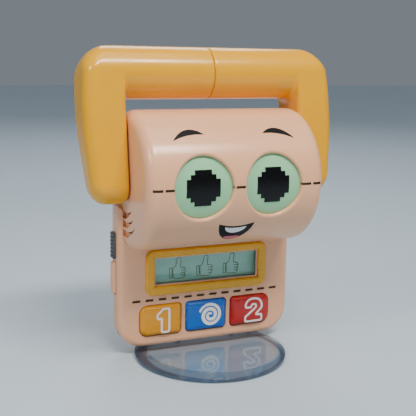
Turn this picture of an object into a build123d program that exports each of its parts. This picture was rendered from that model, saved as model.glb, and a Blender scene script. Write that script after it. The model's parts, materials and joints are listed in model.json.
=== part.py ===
"""Roll-headed toy robot with a swinging carry handle, on a clear round stand.

Frame: +Z up, the face looks along -Y, +X to the right of someone looking at the face.
Origin: on the underside of the stand, at the middle of the stand's depth and on the robot's middle plane.
All sizes are in millimetres.
"""

import os

from build123d import *

os.makedirs("parts", exist_ok=True)

# ---------------------------------------------------------------- driving dimensions
# Flat body
BODY_W = 75.0
BODY_LOW = 2.85         # underside, a hair above the stand's floor
CHEEK_TOP = 61.0        # top of the two cheeks that hold the head's ends
FACE_Y = 7.75           # front face
BACK_Y = 17.35          # flat back
SEAM_Y = 11.9           # parting plane between the front shells and the rear shell
FOOT_R = 10.5           # big lower corners
CHEEK_R = 5.0
FACE_EDGE = 2.3         # rounding round the front face
BACK_EDGE = 1.6
WALL = 1.9
# Head: a drum along X
HEAD_R = 26.7
HEAD_Y = 4.3
HEAD_Z = 71.6
HEAD_HALF = 35.6
HEAD_EDGE = 4.2
HEAD_BACK_EDGE = 2.2
HEAD_AT_SEAM = 25.6     # half the drum's height at the parting plane
SEAM_W = 0.5
SEAM_DEEP = 0.3
SHELL_GAP = 0.1         # between two shells that lie against each other
# Eyes
EYE_X = 14.1
EYE_Z = 71.7
EYE_R = 11.5
EYE_RIM = 0.9
EYE_DEEP = 1.7          # the round displays lie this far inside the drum's skin and curve with it
EYE_BACK_Y = -14.9      # their flat backs
EYE_FLANGE = 1.4        # rim of each display behind the shell
EYE_FIT = 0.1
PUPIL_CELL = 1.65       # one square of the pupil's pattern
PUPIL_T = 0.15
# Handle
BAR_Y = 13.0
BAR_Z = 111.65
BAR_R = 10.1
ARM_IN = 36.0           # inner face of each arm
ARM_TOP_W = 14.2
ARM_KNEE_W = 16.1       # widest, this share of the way up
ARM_KNEE = 0.52
ARM_LOW_W = 13.8
ARM_END_R = 7.0         # rounded lower end, about the pivot
ARM_SHOULDER_R = 9.5
ARM_TOE_R = 4.0
SLEEVE_R = 6.0          # sleeve that joins the two halves inside the bar
SLEEVE_HALF = 16.0
SLEEVE_BORE = 4.0
SLEEVE_FIT = 0.05
# Pivot
PIN_R = 3.0
PIN_FIT = 0.06          # running clearance on radius
PIN_IN_ARM = 9.0
BOSS_R = 6.0
BOSS_L = 3.0
PIN_END = 30.5          # inner end of each pin
WASHER_R = 5.0
WASHER_T = 0.9
RING_R = 5.5            # friction ring between the head's end and the arm
# Dashed grooves
DASH_H = 1.0
DASH_DEEP = 1.0
BODY_DASH_Z = 22.3
BODY_DASH_PITCH = 5.5
BODY_DASH_L = 3.3
BODY_DASHES = 12
HEAD_DASH_L = 3.7
HEAD_DASH_X = (-32.0, -27.5, 0.0, 27.5, 32.0)
# Speaker slots in the head's left end
SLOT_RADII = (12.2, 15.8, 19.4)
SLOT_SHIFT_Y = 2.35     # the lower arc's centre lies this far behind the drum's axis
SLOT_SHIFT_Z = 4.07     # and this far under it
SLOT_TAPER = 1.45
SLOT_REAR_Y = 8.6
SLOT_DEEP = 1.2
SLIT_W = 0.6
SLIT_ANGLES = (240.0, 274.0)
# Display
FRAME_HALF = 26.4
FRAME_LOW = 24.2
FRAME_HIGH = 42.9
FRAME_R = 3.2
FRAME_PROUD = 1.3
FRAME_SUNK = 0.4
FRAME_EDGE = 0.9
WINDOW_HALF = 22.3
WINDOW_LOW = 28.4
WINDOW_HIGH = 39.2
LEDGE = 0.5             # strip of shell that shows inside the frame
PANE_HALF = 24.6
PANE_LOW = 26.8
PANE_HIGH = 40.8
PANE_T = 0.6
PANE_SKIN = 0.9         # case wall left in front of the pane
PANE_FIT = 0.1
GLASS_T = 1.2
# Buttons
BUTTONS = {"amber": -20.1, "blue": -0.3, "red": 19.5}
BUTTON_W = 17.7
BUTTON_LOW = 7.5
BUTTON_HIGH = 20.1
BUTTON_OUTER_R = 3.4    # on the row's outer corners
BUTTON_INNER_R = 1.4
BUTTON_PROUD = 1.7
BUTTON_EDGE = 1.2
BUTTON_GAP = 0.25
BUTTON_TRAVEL = 1.0
FLANGE = 0.8
FLANGE_T = 0.9
# Left edge controls
SWITCH_Z = 44.7
SWITCH_L = 10.6
SWITCH_W = 4.6
CONTROL_Y = 13.6        # middle of the slide switch and of the side key
SWITCH_PROUD = 1.1
SWITCH_TRAVEL = 3.0
STEM_L = 4.0
STEM_W = 2.2
KEY_Z = 31.6
KEY_L = 13.0
KEY_W = 4.4
KEY_PROUD = 1.2
KEY_TRAVEL = 0.8
# Boards
BOARD_Y = 13.2
BOARD_T = 1.0
BOARD_HALF = 28.5
BOARD_LOW = 5.6
BOARD_HIGH = 44.8
# Battery bay
CELL_R = 5.25
CELL_L = 44.5
CELL_Y = 8.4
CELL_ZS = (65.8, 77.4)
TRAY_HALF = 27.5
TRAY_FRONT = 1.2
TRAY_BACK = 15.3
TRAY_LOW = 57.5
TRAY_HIGH = 85.7
TRAY_WALL = 1.4
DOOR_HALF = 25.3
DOOR_LOW = 51.2
DOOR_HIGH = 85.2
DOOR_T = 0.95
DOOR_GAP = 0.2
BAY_HALF = 23.6
BAY_LOW = 59.4
BAY_HIGH = 83.8
DOOR_SCREW_Z = 54.6
DOOR_BOSS_Y = 11.2
# Speaker
SPEAKER_Y = -0.9
SPEAKER_Z = 57.3
SPEAKER_R = 7.2
# Screws
SCREW_R = 1.1
SCREW_HEAD_R = 2.1
SCREW_HEAD_T = 1.2
SCREW_SEAT_Y = 15.75
SCREW_TIP_Y = 10.2
SCREW_PLACES = ((32.3, 11.0), (31.5, 36.5), (31.5, 53.0), (31.5, 88.0))
CASE_SCREWS = [(side * x, z) for side in (-1, 1) for x, z in SCREW_PLACES]
SCREW_BOSS_R = 2.3
THREAD_FIT = 0.05       # round a screw that passes through or into a boss
CROSS_L = 2.6           # cross recess in a screw's head
CROSS_W = 0.5
HEAD_BOSS_FROM = 8.5
# Stand
STAND_R = 30.6
STAND_X = -1.5          # the disc sits a little to one side under the robot
STAND_FLOOR = 2.8
STAND_BEVEL_W = 3.0
STAND_BEVEL_H = 1.3
PEG_R = 1.4
PEG_X = 12.0
PEG_Y = 9.8
PEG_H = 3.0
PEG_HOLE = 3.5


def facing(y):
    """Plane at depth y whose sketches run along X and Z; a negative extrusion goes to the back."""
    return Plane.XZ.offset(-y)


def save(piece, name):
    """Label a finished piece and write it as its own STEP file."""
    piece.label = name
    export_step(piece, f"parts/{name}.step")


def body_outline(inset):
    """Flat body's outline, drawn in by inset, in the open sketch."""
    low, high = BODY_LOW + inset, CHEEK_TOP - inset
    with Locations((0, (low + high) / 2)):
        outline = Rectangle(BODY_W - 2 * inset, high - low)
    corners = outline.vertices().group_by(Axis.Y)
    fillet(corners[0], FOOT_R - inset)
    fillet(corners[-1], CHEEK_R - inset)


def upright(half, low, high, radius):
    """Rounded rectangle on the middle plane from low to high, in the open sketch."""
    with Locations((0, (low + high) / 2)):
        RectangleRounded(2 * half, high - low, radius)


def cap_outline(colour, grow):
    """Outline of one button cap, grown by a gap, in the open sketch."""
    for side, outer_cap in ((-1, "amber"), (1, "red")):
        radius = BUTTON_OUTER_R if colour == outer_cap else BUTTON_INNER_R
        corner_x = BUTTONS[colour] + side * (BUTTON_W / 2 - radius)
        for corner_z in (BUTTON_LOW + radius, BUTTON_HIGH - radius):
            with Locations((corner_x, corner_z)):
                Circle(radius + grow)
    make_hull()


def drum(inset):
    """Head's drum with its rounded ends, drawn in by inset, in the open part."""
    half = HEAD_HALF - inset
    rod_x((-half, half), HEAD_Y, HEAD_Z, HEAD_R - inset)
    fillet(edges().filter_by(GeomType.CIRCLE), HEAD_EDGE - inset)


def block(x, y, z, mode=Mode.ADD):
    """Box between the pairs x, y and z, in the open part."""
    with Locations(((x[0] + x[1]) / 2, (y[0] + y[1]) / 2, (z[0] + z[1]) / 2)):
        Box(x[1] - x[0], y[1] - y[0], z[1] - z[0], mode=mode)


def rod_x(x, y, z, radius, mode=Mode.ADD):
    """Cylinder along X between the pair x, in the open part."""
    with Locations(((x[0] + x[1]) / 2, y, z)):
        Cylinder(radius, x[1] - x[0], rotation=(0, 90, 0), mode=mode)


def rod_y(y, x, z, radius, mode=Mode.ADD):
    """Cylinder along Y between the pair y, in the open part."""
    with Locations((x, (y[0] + y[1]) / 2, z)):
        Cylinder(radius, y[1] - y[0], rotation=(90, 0, 0), mode=mode)


# ---------------------------------------------------------------- construction solids
with BuildPart() as body_solid:
    with BuildSketch(facing(FACE_Y)):
        body_outline(0)
    extrude(amount=-(BACK_Y - FACE_Y))
    fillet(faces().sort_by(Axis.Y)[0].edges(), FACE_EDGE)
    fillet(faces().sort_by(Axis.Y)[-1].edges(), BACK_EDGE)

with BuildPart() as body_hollow:
    with BuildSketch(facing(FACE_Y + WALL)):
        body_outline(WALL)
    extrude(amount=-(BACK_Y - FACE_Y - 2 * WALL))

with BuildPart() as head_solid:
    drum(0)
    split(bisect_by=facing(BACK_Y), keep=Keep.TOP)
    fillet(faces().sort_by(Axis.Y)[-1].edges(), HEAD_BACK_EDGE)

with BuildPart() as head_hollow:
    drum(WALL)
    split(bisect_by=facing(BACK_Y - WALL), keep=Keep.TOP)

with BuildPart() as head_dashes:
    for dash_x in HEAD_DASH_X:
        half_dash = HEAD_DASH_L / 2
        front = HEAD_Y - HEAD_R
        block((dash_x - half_dash, dash_x + half_dash), (front - 1, front + 4),
              (EYE_Z - DASH_H / 2, EYE_Z + DASH_H / 2))
with BuildPart() as groove_floor:
    drum(DASH_DEEP)

# room that the head takes out of the body
with BuildPart() as head_space:
    drum(-SHELL_GAP)

# fine groove round the case at its parting plane
with BuildPart() as seam_groove:
    for inset, mode in ((-1, Mode.ADD), (SEAM_DEEP, Mode.SUBTRACT)):
        with BuildSketch(facing(SEAM_Y - SEAM_W / 2)):
            body_outline(inset)
        extrude(amount=-SEAM_W, mode=mode)
        with BuildSketch(facing(SEAM_Y - SEAM_W / 2)):
            upright(HEAD_HALF - inset, HEAD_Z - HEAD_AT_SEAM + inset, HEAD_Z + HEAD_AT_SEAM - inset,
                    HEAD_EDGE - inset)
        extrude(amount=-SEAM_W, mode=mode)

# ---------------------------------------------------------------- shells
with BuildPart() as head_shell:
    add(head_solid.part)
    for side in (-1, 1):
        rod_y((HEAD_Y - HEAD_R - 1, EYE_BACK_Y), side * EYE_X, EYE_Z, EYE_R, mode=Mode.SUBTRACT)
    round_rims = edges().filter_by(lambda rim: 2 * EYE_R * 3 < rim.length < 2 * EYE_R * 3.5)
    fillet(round_rims.filter_by(lambda rim: rim.center().Y < EYE_BACK_Y - 2), EYE_RIM)
    split(bisect_by=facing(SEAM_Y), keep=Keep.TOP)
    add(head_hollow.part, mode=Mode.SUBTRACT)
    for side in (-1, 1):
        inner = HEAD_HALF - WALL
        ends = sorted((side * (inner - BOSS_L), side * (inner + WALL / 2)))
        rod_x(ends, HEAD_Y, HEAD_Z, BOSS_R)
        for boss_x, boss_z in CASE_SCREWS:
            if boss_z > BOARD_HIGH and boss_x * side > 0:
                rod_y((HEAD_BOSS_FROM, SEAM_Y), boss_x, boss_z, SCREW_BOSS_R)
                rod_y((SCREW_TIP_Y - 0.5, SEAM_Y), boss_x, boss_z, SCREW_R + THREAD_FIT, mode=Mode.SUBTRACT)
        bore = sorted((side * (inner - BOSS_L - 1), side * (HEAD_HALF + 1)))
        rod_x(bore, HEAD_Y, HEAD_Z, PIN_R + PIN_FIT, mode=Mode.SUBTRACT)
    # speaker crescents: a shallow hollow between two arcs, with a slit through the wall at its top
    for slot_r in SLOT_RADII:
        with BuildSketch(Plane.YZ.offset(-HEAD_HALF)):
            with Locations((HEAD_Y + SLOT_SHIFT_Y, HEAD_Z - SLOT_SHIFT_Z)):
                Circle(slot_r - SLOT_TAPER)
            with Locations((HEAD_Y, HEAD_Z)):
                Circle(slot_r, mode=Mode.SUBTRACT)
            with Locations((SLOT_REAR_Y - HEAD_R, HEAD_Z - HEAD_R)):
                Rectangle(2 * HEAD_R, 2 * HEAD_R, mode=Mode.INTERSECT)
        extrude(amount=SLOT_DEEP, mode=Mode.SUBTRACT)
        with BuildSketch(Plane.YZ.offset(-HEAD_HALF)):
            SlotArc(Edge.make_circle(slot_r + SLIT_W * 0.75, Plane((HEAD_Y, HEAD_Z)), *SLIT_ANGLES), SLIT_W)
        extrude(amount=WALL + 1, mode=Mode.SUBTRACT)
    add(head_dashes.part - groove_floor.part, mode=Mode.SUBTRACT)
    add(seam_groove.part, mode=Mode.SUBTRACT)

with BuildPart() as body_front_shell:
    add(body_solid.part)
    split(bisect_by=facing(SEAM_Y), keep=Keep.TOP)
    add(body_hollow.part, mode=Mode.SUBTRACT)
    for boss_x, boss_z in CASE_SCREWS:
        if boss_z < BOARD_HIGH:
            rod_y((FACE_Y + WALL / 2, SEAM_Y), boss_x, boss_z, SCREW_BOSS_R)
            rod_y((SCREW_TIP_Y - 0.2, SEAM_Y), boss_x, boss_z, SCREW_R + THREAD_FIT, mode=Mode.SUBTRACT)
    add(head_space.part, mode=Mode.SUBTRACT)
    add(seam_groove.part, mode=Mode.SUBTRACT)
    # seat of the display frame, then the window through the wall
    with BuildSketch(facing(FACE_Y)):
        upright(FRAME_HALF, FRAME_LOW, FRAME_HIGH, FRAME_R)
        with Locations((0, (WINDOW_LOW + WINDOW_HIGH) / 2)):
            Rectangle(2 * (WINDOW_HALF + LEDGE), WINDOW_HIGH - WINDOW_LOW + 2 * LEDGE, mode=Mode.SUBTRACT)
    extrude(amount=-FRAME_SUNK, mode=Mode.SUBTRACT)
    with BuildSketch(facing(FACE_Y)):
        upright(WINDOW_HALF, WINDOW_LOW, WINDOW_HIGH, 0.6)
    extrude(amount=-(WALL + 0.5), mode=Mode.SUBTRACT)
    # pocket behind the window for the pane
    block((-PANE_HALF - PANE_FIT, PANE_HALF + PANE_FIT), (FACE_Y + PANE_SKIN, FACE_Y + WALL + 0.5),
          (PANE_LOW - PANE_FIT, PANE_HIGH + PANE_FIT), mode=Mode.SUBTRACT)
    # openings for the three caps
    for colour in BUTTONS:
        with BuildSketch(facing(FACE_Y)):
            cap_outline(colour, BUTTON_GAP)
        extrude(amount=-(WALL + 0.5), mode=Mode.SUBTRACT)
    # dashed groove
    for turn in range(BODY_DASHES):
        dash_x = (turn - (BODY_DASHES - 1) / 2) * BODY_DASH_PITCH
        block((dash_x - BODY_DASH_L / 2, dash_x + BODY_DASH_L / 2), (FACE_Y - 1, FACE_Y + DASH_DEEP),
              (BODY_DASH_Z - DASH_H / 2, BODY_DASH_Z + DASH_H / 2), mode=Mode.SUBTRACT)
    # holes for the stand's pegs
    with Locations((-PEG_X, PEG_Y, BODY_LOW), (PEG_X, PEG_Y, BODY_LOW)):
        Cylinder(PEG_R + PIN_FIT, 2 * PEG_HOLE, mode=Mode.SUBTRACT)

with BuildPart() as rear_shell:
    add(body_solid.part)
    add(head_solid.part)
    split(bisect_by=facing(SEAM_Y), keep=Keep.BOTTOM)
    add(body_hollow.part, mode=Mode.SUBTRACT)
    add(head_hollow.part, mode=Mode.SUBTRACT)
    add(seam_groove.part, mode=Mode.SUBTRACT)
    for boss_x, boss_z in CASE_SCREWS:
        rod_y((SEAM_Y, BACK_Y - WALL / 2), boss_x, boss_z, SCREW_BOSS_R)
        rod_y((SEAM_Y - 1, BACK_Y), boss_x, boss_z, SCREW_R + THREAD_FIT, mode=Mode.SUBTRACT)
        rod_y((SCREW_SEAT_Y, BACK_Y + 1), boss_x, boss_z, SCREW_HEAD_R + 0.15, mode=Mode.SUBTRACT)
    # posts behind the main board
    for post_x in (-18, 18):
        for post_z in (10, 40):
            rod_y((BOARD_Y + BOARD_T, BACK_Y - WALL / 2), post_x, post_z, 1.6)
    # battery bay: rebate for the door, the opening, and the boss of the door's screw
    with BuildSketch(facing(BACK_Y - DOOR_T)):
        upright(DOOR_HALF, DOOR_LOW, DOOR_HIGH, 2.5)
    extrude(amount=-(DOOR_T + 1), mode=Mode.SUBTRACT)
    block((-BAY_HALF, BAY_HALF), (BACK_Y - WALL - 0.5, BACK_Y), (BAY_LOW, BAY_HIGH), mode=Mode.SUBTRACT)
    rod_y((DOOR_BOSS_Y, BACK_Y - WALL), 0, DOOR_SCREW_Z, SCREW_BOSS_R)
    rod_y((DOOR_BOSS_Y - 1, BACK_Y), 0, DOOR_SCREW_Z, SCREW_R + THREAD_FIT, mode=Mode.SUBTRACT)

# ---------------------------------------------------------------- slots for the left edge controls
LEFT_X = -BODY_W / 2
with BuildPart() as edge_openings:
    half_stem = STEM_L / 2 + 0.2
    block((LEFT_X - 1, LEFT_X + WALL + 0.5), (CONTROL_Y - STEM_W / 2 - 0.2, CONTROL_Y + STEM_W / 2 + 0.2),
          (SWITCH_Z - half_stem, SWITCH_Z + half_stem + SWITCH_TRAVEL))
    half_key = KEY_L / 2 + 0.2
    block((LEFT_X - 1, LEFT_X + WALL + KEY_TRAVEL + 0.3),
          (CONTROL_Y - KEY_W / 2 - 0.2, CONTROL_Y + KEY_W / 2 + 0.2), (KEY_Z - half_key, KEY_Z + half_key))

save(head_shell.part, "head_shell")
save(body_front_shell.part - edge_openings.part, "body_front_shell")
save(rear_shell.part - edge_openings.part, "rear_shell")

# ---------------------------------------------------------------- display
with BuildPart() as display_frame:
    with BuildSketch(facing(FACE_Y + FRAME_SUNK)):
        upright(FRAME_HALF, FRAME_LOW, FRAME_HIGH, FRAME_R)
        with Locations((0, (WINDOW_LOW + WINDOW_HIGH) / 2)):
            Rectangle(2 * (WINDOW_HALF + LEDGE), WINDOW_HIGH - WINDOW_LOW + 2 * LEDGE, mode=Mode.SUBTRACT)
    extrude(amount=FRAME_SUNK + FRAME_PROUD)
    fillet(faces().sort_by(Axis.Y)[0].edges(), FRAME_EDGE)

pane_front = FACE_Y + PANE_SKIN
glass_front = pane_front + PANE_T
glass_back = glass_front + GLASS_T
with BuildPart() as display_window:
    block((-PANE_HALF, PANE_HALF), (pane_front, glass_front), (PANE_LOW, PANE_HIGH))
    fillet(edges().filter_by(Axis.Y), 1.0)

with BuildPart() as display_glass:
    block((-PANE_HALF, PANE_HALF), (glass_front, glass_back), (PANE_LOW, PANE_HIGH))

with BuildPart() as display_reflector:
    block((-PANE_HALF + 0.6, PANE_HALF - 0.6), (glass_back, glass_back + 0.25), (29.6, 38.2))

with BuildPart() as display_connectors:
    for strip_z in (PANE_LOW + 1.0, PANE_HIGH - 1.0):
        block((-PANE_HALF + 1, PANE_HALF - 1), (glass_back, BOARD_Y), (strip_z - 0.8, strip_z + 0.8))

# ---------------------------------------------------------------- boards
with BuildPart() as main_board:
    block((-BOARD_HALF, BOARD_HALF), (BOARD_Y, BOARD_Y + BOARD_T), (BOARD_LOW, BOARD_HIGH))
    fillet(edges().filter_by(Axis.Y), 2.0)

with BuildPart() as controller_chip:
    with Locations(Plane.XZ.offset(-(BOARD_Y + BOARD_T)) * Pos(0, 24, 0)):
        Cylinder(6.0, 0.9, align=(Align.CENTER, Align.CENTER, Align.MAX))
    fillet(faces().sort_by(Axis.Y)[-1].edges(), 0.6)

with BuildPart() as button_switches:
    for cap_x in BUTTONS.values():
        cap_z = (BUTTON_LOW + BUTTON_HIGH) / 2
        block((cap_x - 3, cap_x + 3), (BOARD_Y - 0.9, BOARD_Y), (cap_z - 3, cap_z + 3))
        rod_y((FACE_Y + WALL + 0.1 + FLANGE_T + BUTTON_TRAVEL + 0.1, BOARD_Y - 0.5), cap_x, cap_z, 1.7)

with BuildPart() as eye_board:
    block((-26.5, 26.5), (EYE_BACK_Y, EYE_BACK_Y + BOARD_T), (60.5, 83.0))
    fillet(edges().filter_by(Axis.Y), 4.0)

with BuildPart() as head_ribbon:
    with BuildSketch(Plane.YZ.offset(6)):
        with BuildLine():
            FilletPolyline((EYE_BACK_Y + BOARD_T + 0.3, 63), (EYE_BACK_Y + BOARD_T + 0.3, 57),
                           (-7, 52.6), (9, 50.8), (14.5, 50.8), (14.5, 43), radius=1.2)
        trace(line_width=0.6)
    extrude(amount=12)

# ---------------------------------------------------------------- eyes
display_r = HEAD_R - EYE_DEEP
for side, word in ((-1, "left"), (1, "right")):
    with BuildPart() as flange:
        rod_y((HEAD_Y - HEAD_R, EYE_BACK_Y), side * EYE_X, EYE_Z, EYE_R + EYE_FLANGE)
        rod_x((-HEAD_HALF, HEAD_HALF), HEAD_Y, HEAD_Z, HEAD_R - WALL - EYE_FIT, mode=Mode.INTERSECT)
    with BuildPart() as disc:
        rod_y((HEAD_Y - HEAD_R, EYE_BACK_Y), side * EYE_X, EYE_Z, EYE_R - EYE_FIT)
        rod_x((-HEAD_HALF, HEAD_HALF), HEAD_Y, HEAD_Z, display_r, mode=Mode.INTERSECT)
        add(flange.part)
    save(disc.part, f"eye_display_{word}")
    with BuildPart() as pupil:
        for wide, tall in ((4, 8), (6, 6), (8, 4)):
            half_wide, half_tall = wide * PUPIL_CELL / 2, tall * PUPIL_CELL / 2
            block((side * EYE_X - half_wide, side * EYE_X + half_wide), (HEAD_Y - HEAD_R, EYE_BACK_Y - 1),
                  (EYE_Z - half_tall, EYE_Z + half_tall))
        rod_x((-HEAD_HALF, HEAD_HALF), HEAD_Y, HEAD_Z, display_r + PUPIL_T, mode=Mode.INTERSECT)
        rod_x((-HEAD_HALF, HEAD_HALF), HEAD_Y, HEAD_Z, display_r, mode=Mode.SUBTRACT)
    save(pupil.part, f"eye_pupil_{word}")

# ---------------------------------------------------------------- buttons
for colour, cap_x in BUTTONS.items():
    with BuildPart() as cap:
        with BuildSketch(facing(FACE_Y + WALL + 0.1)):
            cap_outline(colour, 0)
        extrude(amount=WALL + 0.1 + BUTTON_PROUD)
        fillet(faces().sort_by(Axis.Y)[0].edges(), BUTTON_EDGE)
        half_cap = BUTTON_W / 2 + FLANGE
        block((cap_x - half_cap, cap_x + half_cap),
              (FACE_Y + WALL + 0.1, FACE_Y + WALL + 0.1 + FLANGE_T),
              (BUTTON_LOW - FLANGE, BUTTON_HIGH + FLANGE))
    save(cap.part, f"button_{colour}")

# ---------------------------------------------------------------- left edge controls
inner_x = LEFT_X + WALL
with BuildPart() as power_slider:
    block((LEFT_X - SWITCH_PROUD, LEFT_X - 0.1), (CONTROL_Y - SWITCH_W / 2, CONTROL_Y + SWITCH_W / 2),
          (SWITCH_Z - SWITCH_L / 2, SWITCH_Z + SWITCH_L / 2))
    fillet(edges().filter_by(Axis.X), 0.8)
    chamfer(faces().sort_by(Axis.X)[0].edges(), 0.3)
    for rib in range(6):
        rib_z = SWITCH_Z + (rib - 2.5) * 1.5
        block((LEFT_X - SWITCH_PROUD - 0.5, LEFT_X - SWITCH_PROUD + 0.35),
              (CONTROL_Y - SWITCH_W, CONTROL_Y + SWITCH_W), (rib_z - 0.3, rib_z + 0.3), mode=Mode.SUBTRACT)
    block((LEFT_X - 0.1, inner_x + 0.1), (CONTROL_Y - STEM_W / 2, CONTROL_Y + STEM_W / 2),
          (SWITCH_Z - STEM_L / 2, SWITCH_Z + STEM_L / 2))
    block((inner_x + 0.1, inner_x + 0.9), (CONTROL_Y - STEM_W / 2 - 0.35, CONTROL_Y + STEM_W / 2 + 0.35),
          (SWITCH_Z - STEM_L / 2 - 0.5, SWITCH_Z + STEM_L / 2 + 0.5))
    block((inner_x + 0.9, inner_x + 2.2), (CONTROL_Y - 0.5, CONTROL_Y + 0.5), (SWITCH_Z - 1, SWITCH_Z + 1))

with BuildPart() as power_switch:
    block((inner_x + 1.2, -BOARD_HALF), (SEAM_Y + 0.2, BACK_Y - WALL - 0.1),
          (SWITCH_Z - 3.4, SWITCH_Z + 5.6))
    block((inner_x, inner_x + 2.4), (CONTROL_Y - 0.7, CONTROL_Y + 0.7),
          (SWITCH_Z - 1.2, SWITCH_Z + 1.2 + SWITCH_TRAVEL), mode=Mode.SUBTRACT)

with BuildPart() as side_key:
    block((LEFT_X - KEY_PROUD, inner_x + 0.05), (CONTROL_Y - KEY_W / 2, CONTROL_Y + KEY_W / 2),
          (KEY_Z - KEY_L / 2, KEY_Z + KEY_L / 2))
    fillet(edges().filter_by(Axis.X), 1.4)
    fillet(faces().sort_by(Axis.X)[0].edges(), 0.8)
    block((inner_x + 0.05, inner_x + 0.85), (CONTROL_Y - 2.55, BACK_Y - WALL - 0.2),
          (KEY_Z - KEY_L / 2 - 0.6, KEY_Z + KEY_L / 2 + 0.6))

with BuildPart() as side_key_switch:
    block((inner_x + 2.6, -BOARD_HALF + 1), (10.7, BOARD_Y), (KEY_Z - 2.4, KEY_Z + 2.4))
    rod_x((inner_x + 0.85 + KEY_TRAVEL + 0.1, inner_x + 2.6), 12.0, KEY_Z, 1.0)

# ---------------------------------------------------------------- battery bay
with BuildPart() as battery_tray:
    block((-TRAY_HALF, TRAY_HALF), (TRAY_FRONT, TRAY_BACK), (TRAY_LOW, TRAY_HIGH))
    block((-TRAY_HALF + TRAY_WALL, TRAY_HALF - TRAY_WALL), (TRAY_FRONT + TRAY_WALL, TRAY_BACK + 1),
          (TRAY_LOW + TRAY_WALL, TRAY_HIGH - TRAY_WALL), mode=Mode.SUBTRACT)

with BuildPart() as battery_cells:
    for turned, cell_z in zip((-1, 1), CELL_ZS):
        rod_x((-CELL_L / 2, CELL_L / 2 - 1) if turned > 0 else (-CELL_L / 2 + 1, CELL_L / 2),
              CELL_Y, cell_z, CELL_R)
        tip = sorted((turned * (CELL_L / 2 - 1), turned * CELL_L / 2))
        rod_x(tip, CELL_Y, cell_z, 1.9)

with BuildPart() as battery_contacts:
    plate_x = TRAY_HALF - TRAY_WALL
    for side in (-1, 1):
        for turned, cell_z in zip((-1, 1), CELL_ZS):
            plate = sorted((side * (plate_x - 0.4), side * plate_x))
            block(plate, (CELL_Y - 4, CELL_Y + 4), (cell_z - 4, cell_z + 4))
            reach = sorted((side * CELL_L / 2, side * (plate_x - 0.2)))
            rod_x(reach, CELL_Y, cell_z, 1.6 if side == turned else 3.2)

with BuildPart() as battery_door:
    with BuildSketch(facing(BACK_Y)):
        upright(DOOR_HALF - DOOR_GAP, DOOR_LOW + DOOR_GAP, DOOR_HIGH - DOOR_GAP, 2.3)
    extrude(amount=DOOR_T - 0.05)
    block((-BAY_HALF + DOOR_GAP, BAY_HALF - DOOR_GAP), (BACK_Y - WALL + 0.1, BACK_Y - DOOR_T + 0.1),
          (BAY_LOW + DOOR_GAP, BAY_HIGH - DOOR_GAP))
    for rib in range(5):
        rib_z = BAY_HIGH - 4 - 1.8 * rib
        block((-7 + rib, 7 - rib), (BACK_Y - 0.4, BACK_Y + 1), (rib_z - 0.4, rib_z + 0.4),
              mode=Mode.SUBTRACT)
    rod_y((BACK_Y - 3, BACK_Y + 1), 0, DOOR_SCREW_Z, SCREW_R + THREAD_FIT, mode=Mode.SUBTRACT)
    rod_y((BACK_Y - 0.5, BACK_Y + 1), 0, DOOR_SCREW_Z, SCREW_HEAD_R + 0.1, mode=Mode.SUBTRACT)

with BuildPart() as door_screw:
    rod_y((BACK_Y - 0.5, BACK_Y), 0, DOOR_SCREW_Z, SCREW_HEAD_R)
    rod_y((DOOR_BOSS_Y + 0.4, BACK_Y - 0.5), 0, DOOR_SCREW_Z, SCREW_R)
    for wide, tall in ((CROSS_L, CROSS_W), (CROSS_W, CROSS_L)):
        block((-wide / 2, wide / 2), (BACK_Y - 0.3, BACK_Y + 1),
              (DOOR_SCREW_Z - tall / 2, DOOR_SCREW_Z + tall / 2), mode=Mode.SUBTRACT)

# ---------------------------------------------------------------- speaker, behind the slots
speaker_x = -HEAD_HALF + WALL
with BuildPart() as speaker_frame:
    rod_x((speaker_x, speaker_x + 3), SPEAKER_Y, SPEAKER_Z, SPEAKER_R)
    rod_x((speaker_x - 1, speaker_x + 2), SPEAKER_Y, SPEAKER_Z, SPEAKER_R - 1, mode=Mode.SUBTRACT)

with BuildPart() as speaker_cone:
    with Locations(Location((speaker_x + 1.4, SPEAKER_Y, SPEAKER_Z), (0, 90, 0))):
        Cone(SPEAKER_R - 1.2, 2.4, 1.2)

with BuildPart() as speaker_magnet:
    rod_x((speaker_x + 3, speaker_x + 5.4), SPEAKER_Y, SPEAKER_Z, 5.0)

# ---------------------------------------------------------------- case screws
with BuildPart() as case_screws:
    for boss_x, boss_z in CASE_SCREWS:
        rod_y((SCREW_SEAT_Y, SCREW_SEAT_Y + SCREW_HEAD_T), boss_x, boss_z, SCREW_HEAD_R)
        rod_y((SCREW_TIP_Y, SCREW_SEAT_Y), boss_x, boss_z, SCREW_R)
        for wide, tall in ((CROSS_L, CROSS_W), (CROSS_W, CROSS_L)):
            block((boss_x - wide / 2, boss_x + wide / 2),
                  (SCREW_SEAT_Y + 0.5, SCREW_SEAT_Y + SCREW_HEAD_T + 1),
                  (boss_z - tall / 2, boss_z + tall / 2), mode=Mode.SUBTRACT)

# ---------------------------------------------------------------- handle
with BuildPart() as arm_side:
    # side view: a hull round the pivot end and the grip, carried across both arms
    with BuildSketch(Plane.YZ.offset(ARM_IN)):
        with Locations((HEAD_Y, HEAD_Z)):
            Circle(ARM_END_R)
        with Locations((BAR_Y, BAR_Z)):
            Circle(BAR_R)
        make_hull()
    extrude(amount=ARM_KNEE_W)

with BuildPart() as arm_front:
    # front view: straight inner face, outer face that comes in towards both ends
    low, high = HEAD_Z - ARM_END_R, BAR_Z + BAR_R
    with BuildSketch(facing(-30)):
        with BuildLine():
            Polyline((ARM_IN, low), (ARM_IN + ARM_LOW_W, low),
                     (ARM_IN + ARM_KNEE_W, low + (high - low) * ARM_KNEE),
                     (ARM_IN + ARM_TOP_W, high), (ARM_IN, high), close=True)
        make_face()
        outer = vertices().sort_by(Axis.X)[2:]
        fillet(outer.sort_by(Axis.Y)[-1], ARM_SHOULDER_R)
        fillet(outer.sort_by(Axis.Y)[0], ARM_TOE_R)
    extrude(amount=-60)

with BuildPart() as arm:
    add(arm_side.part)
    add(arm_front.part, mode=Mode.INTERSECT)

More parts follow.
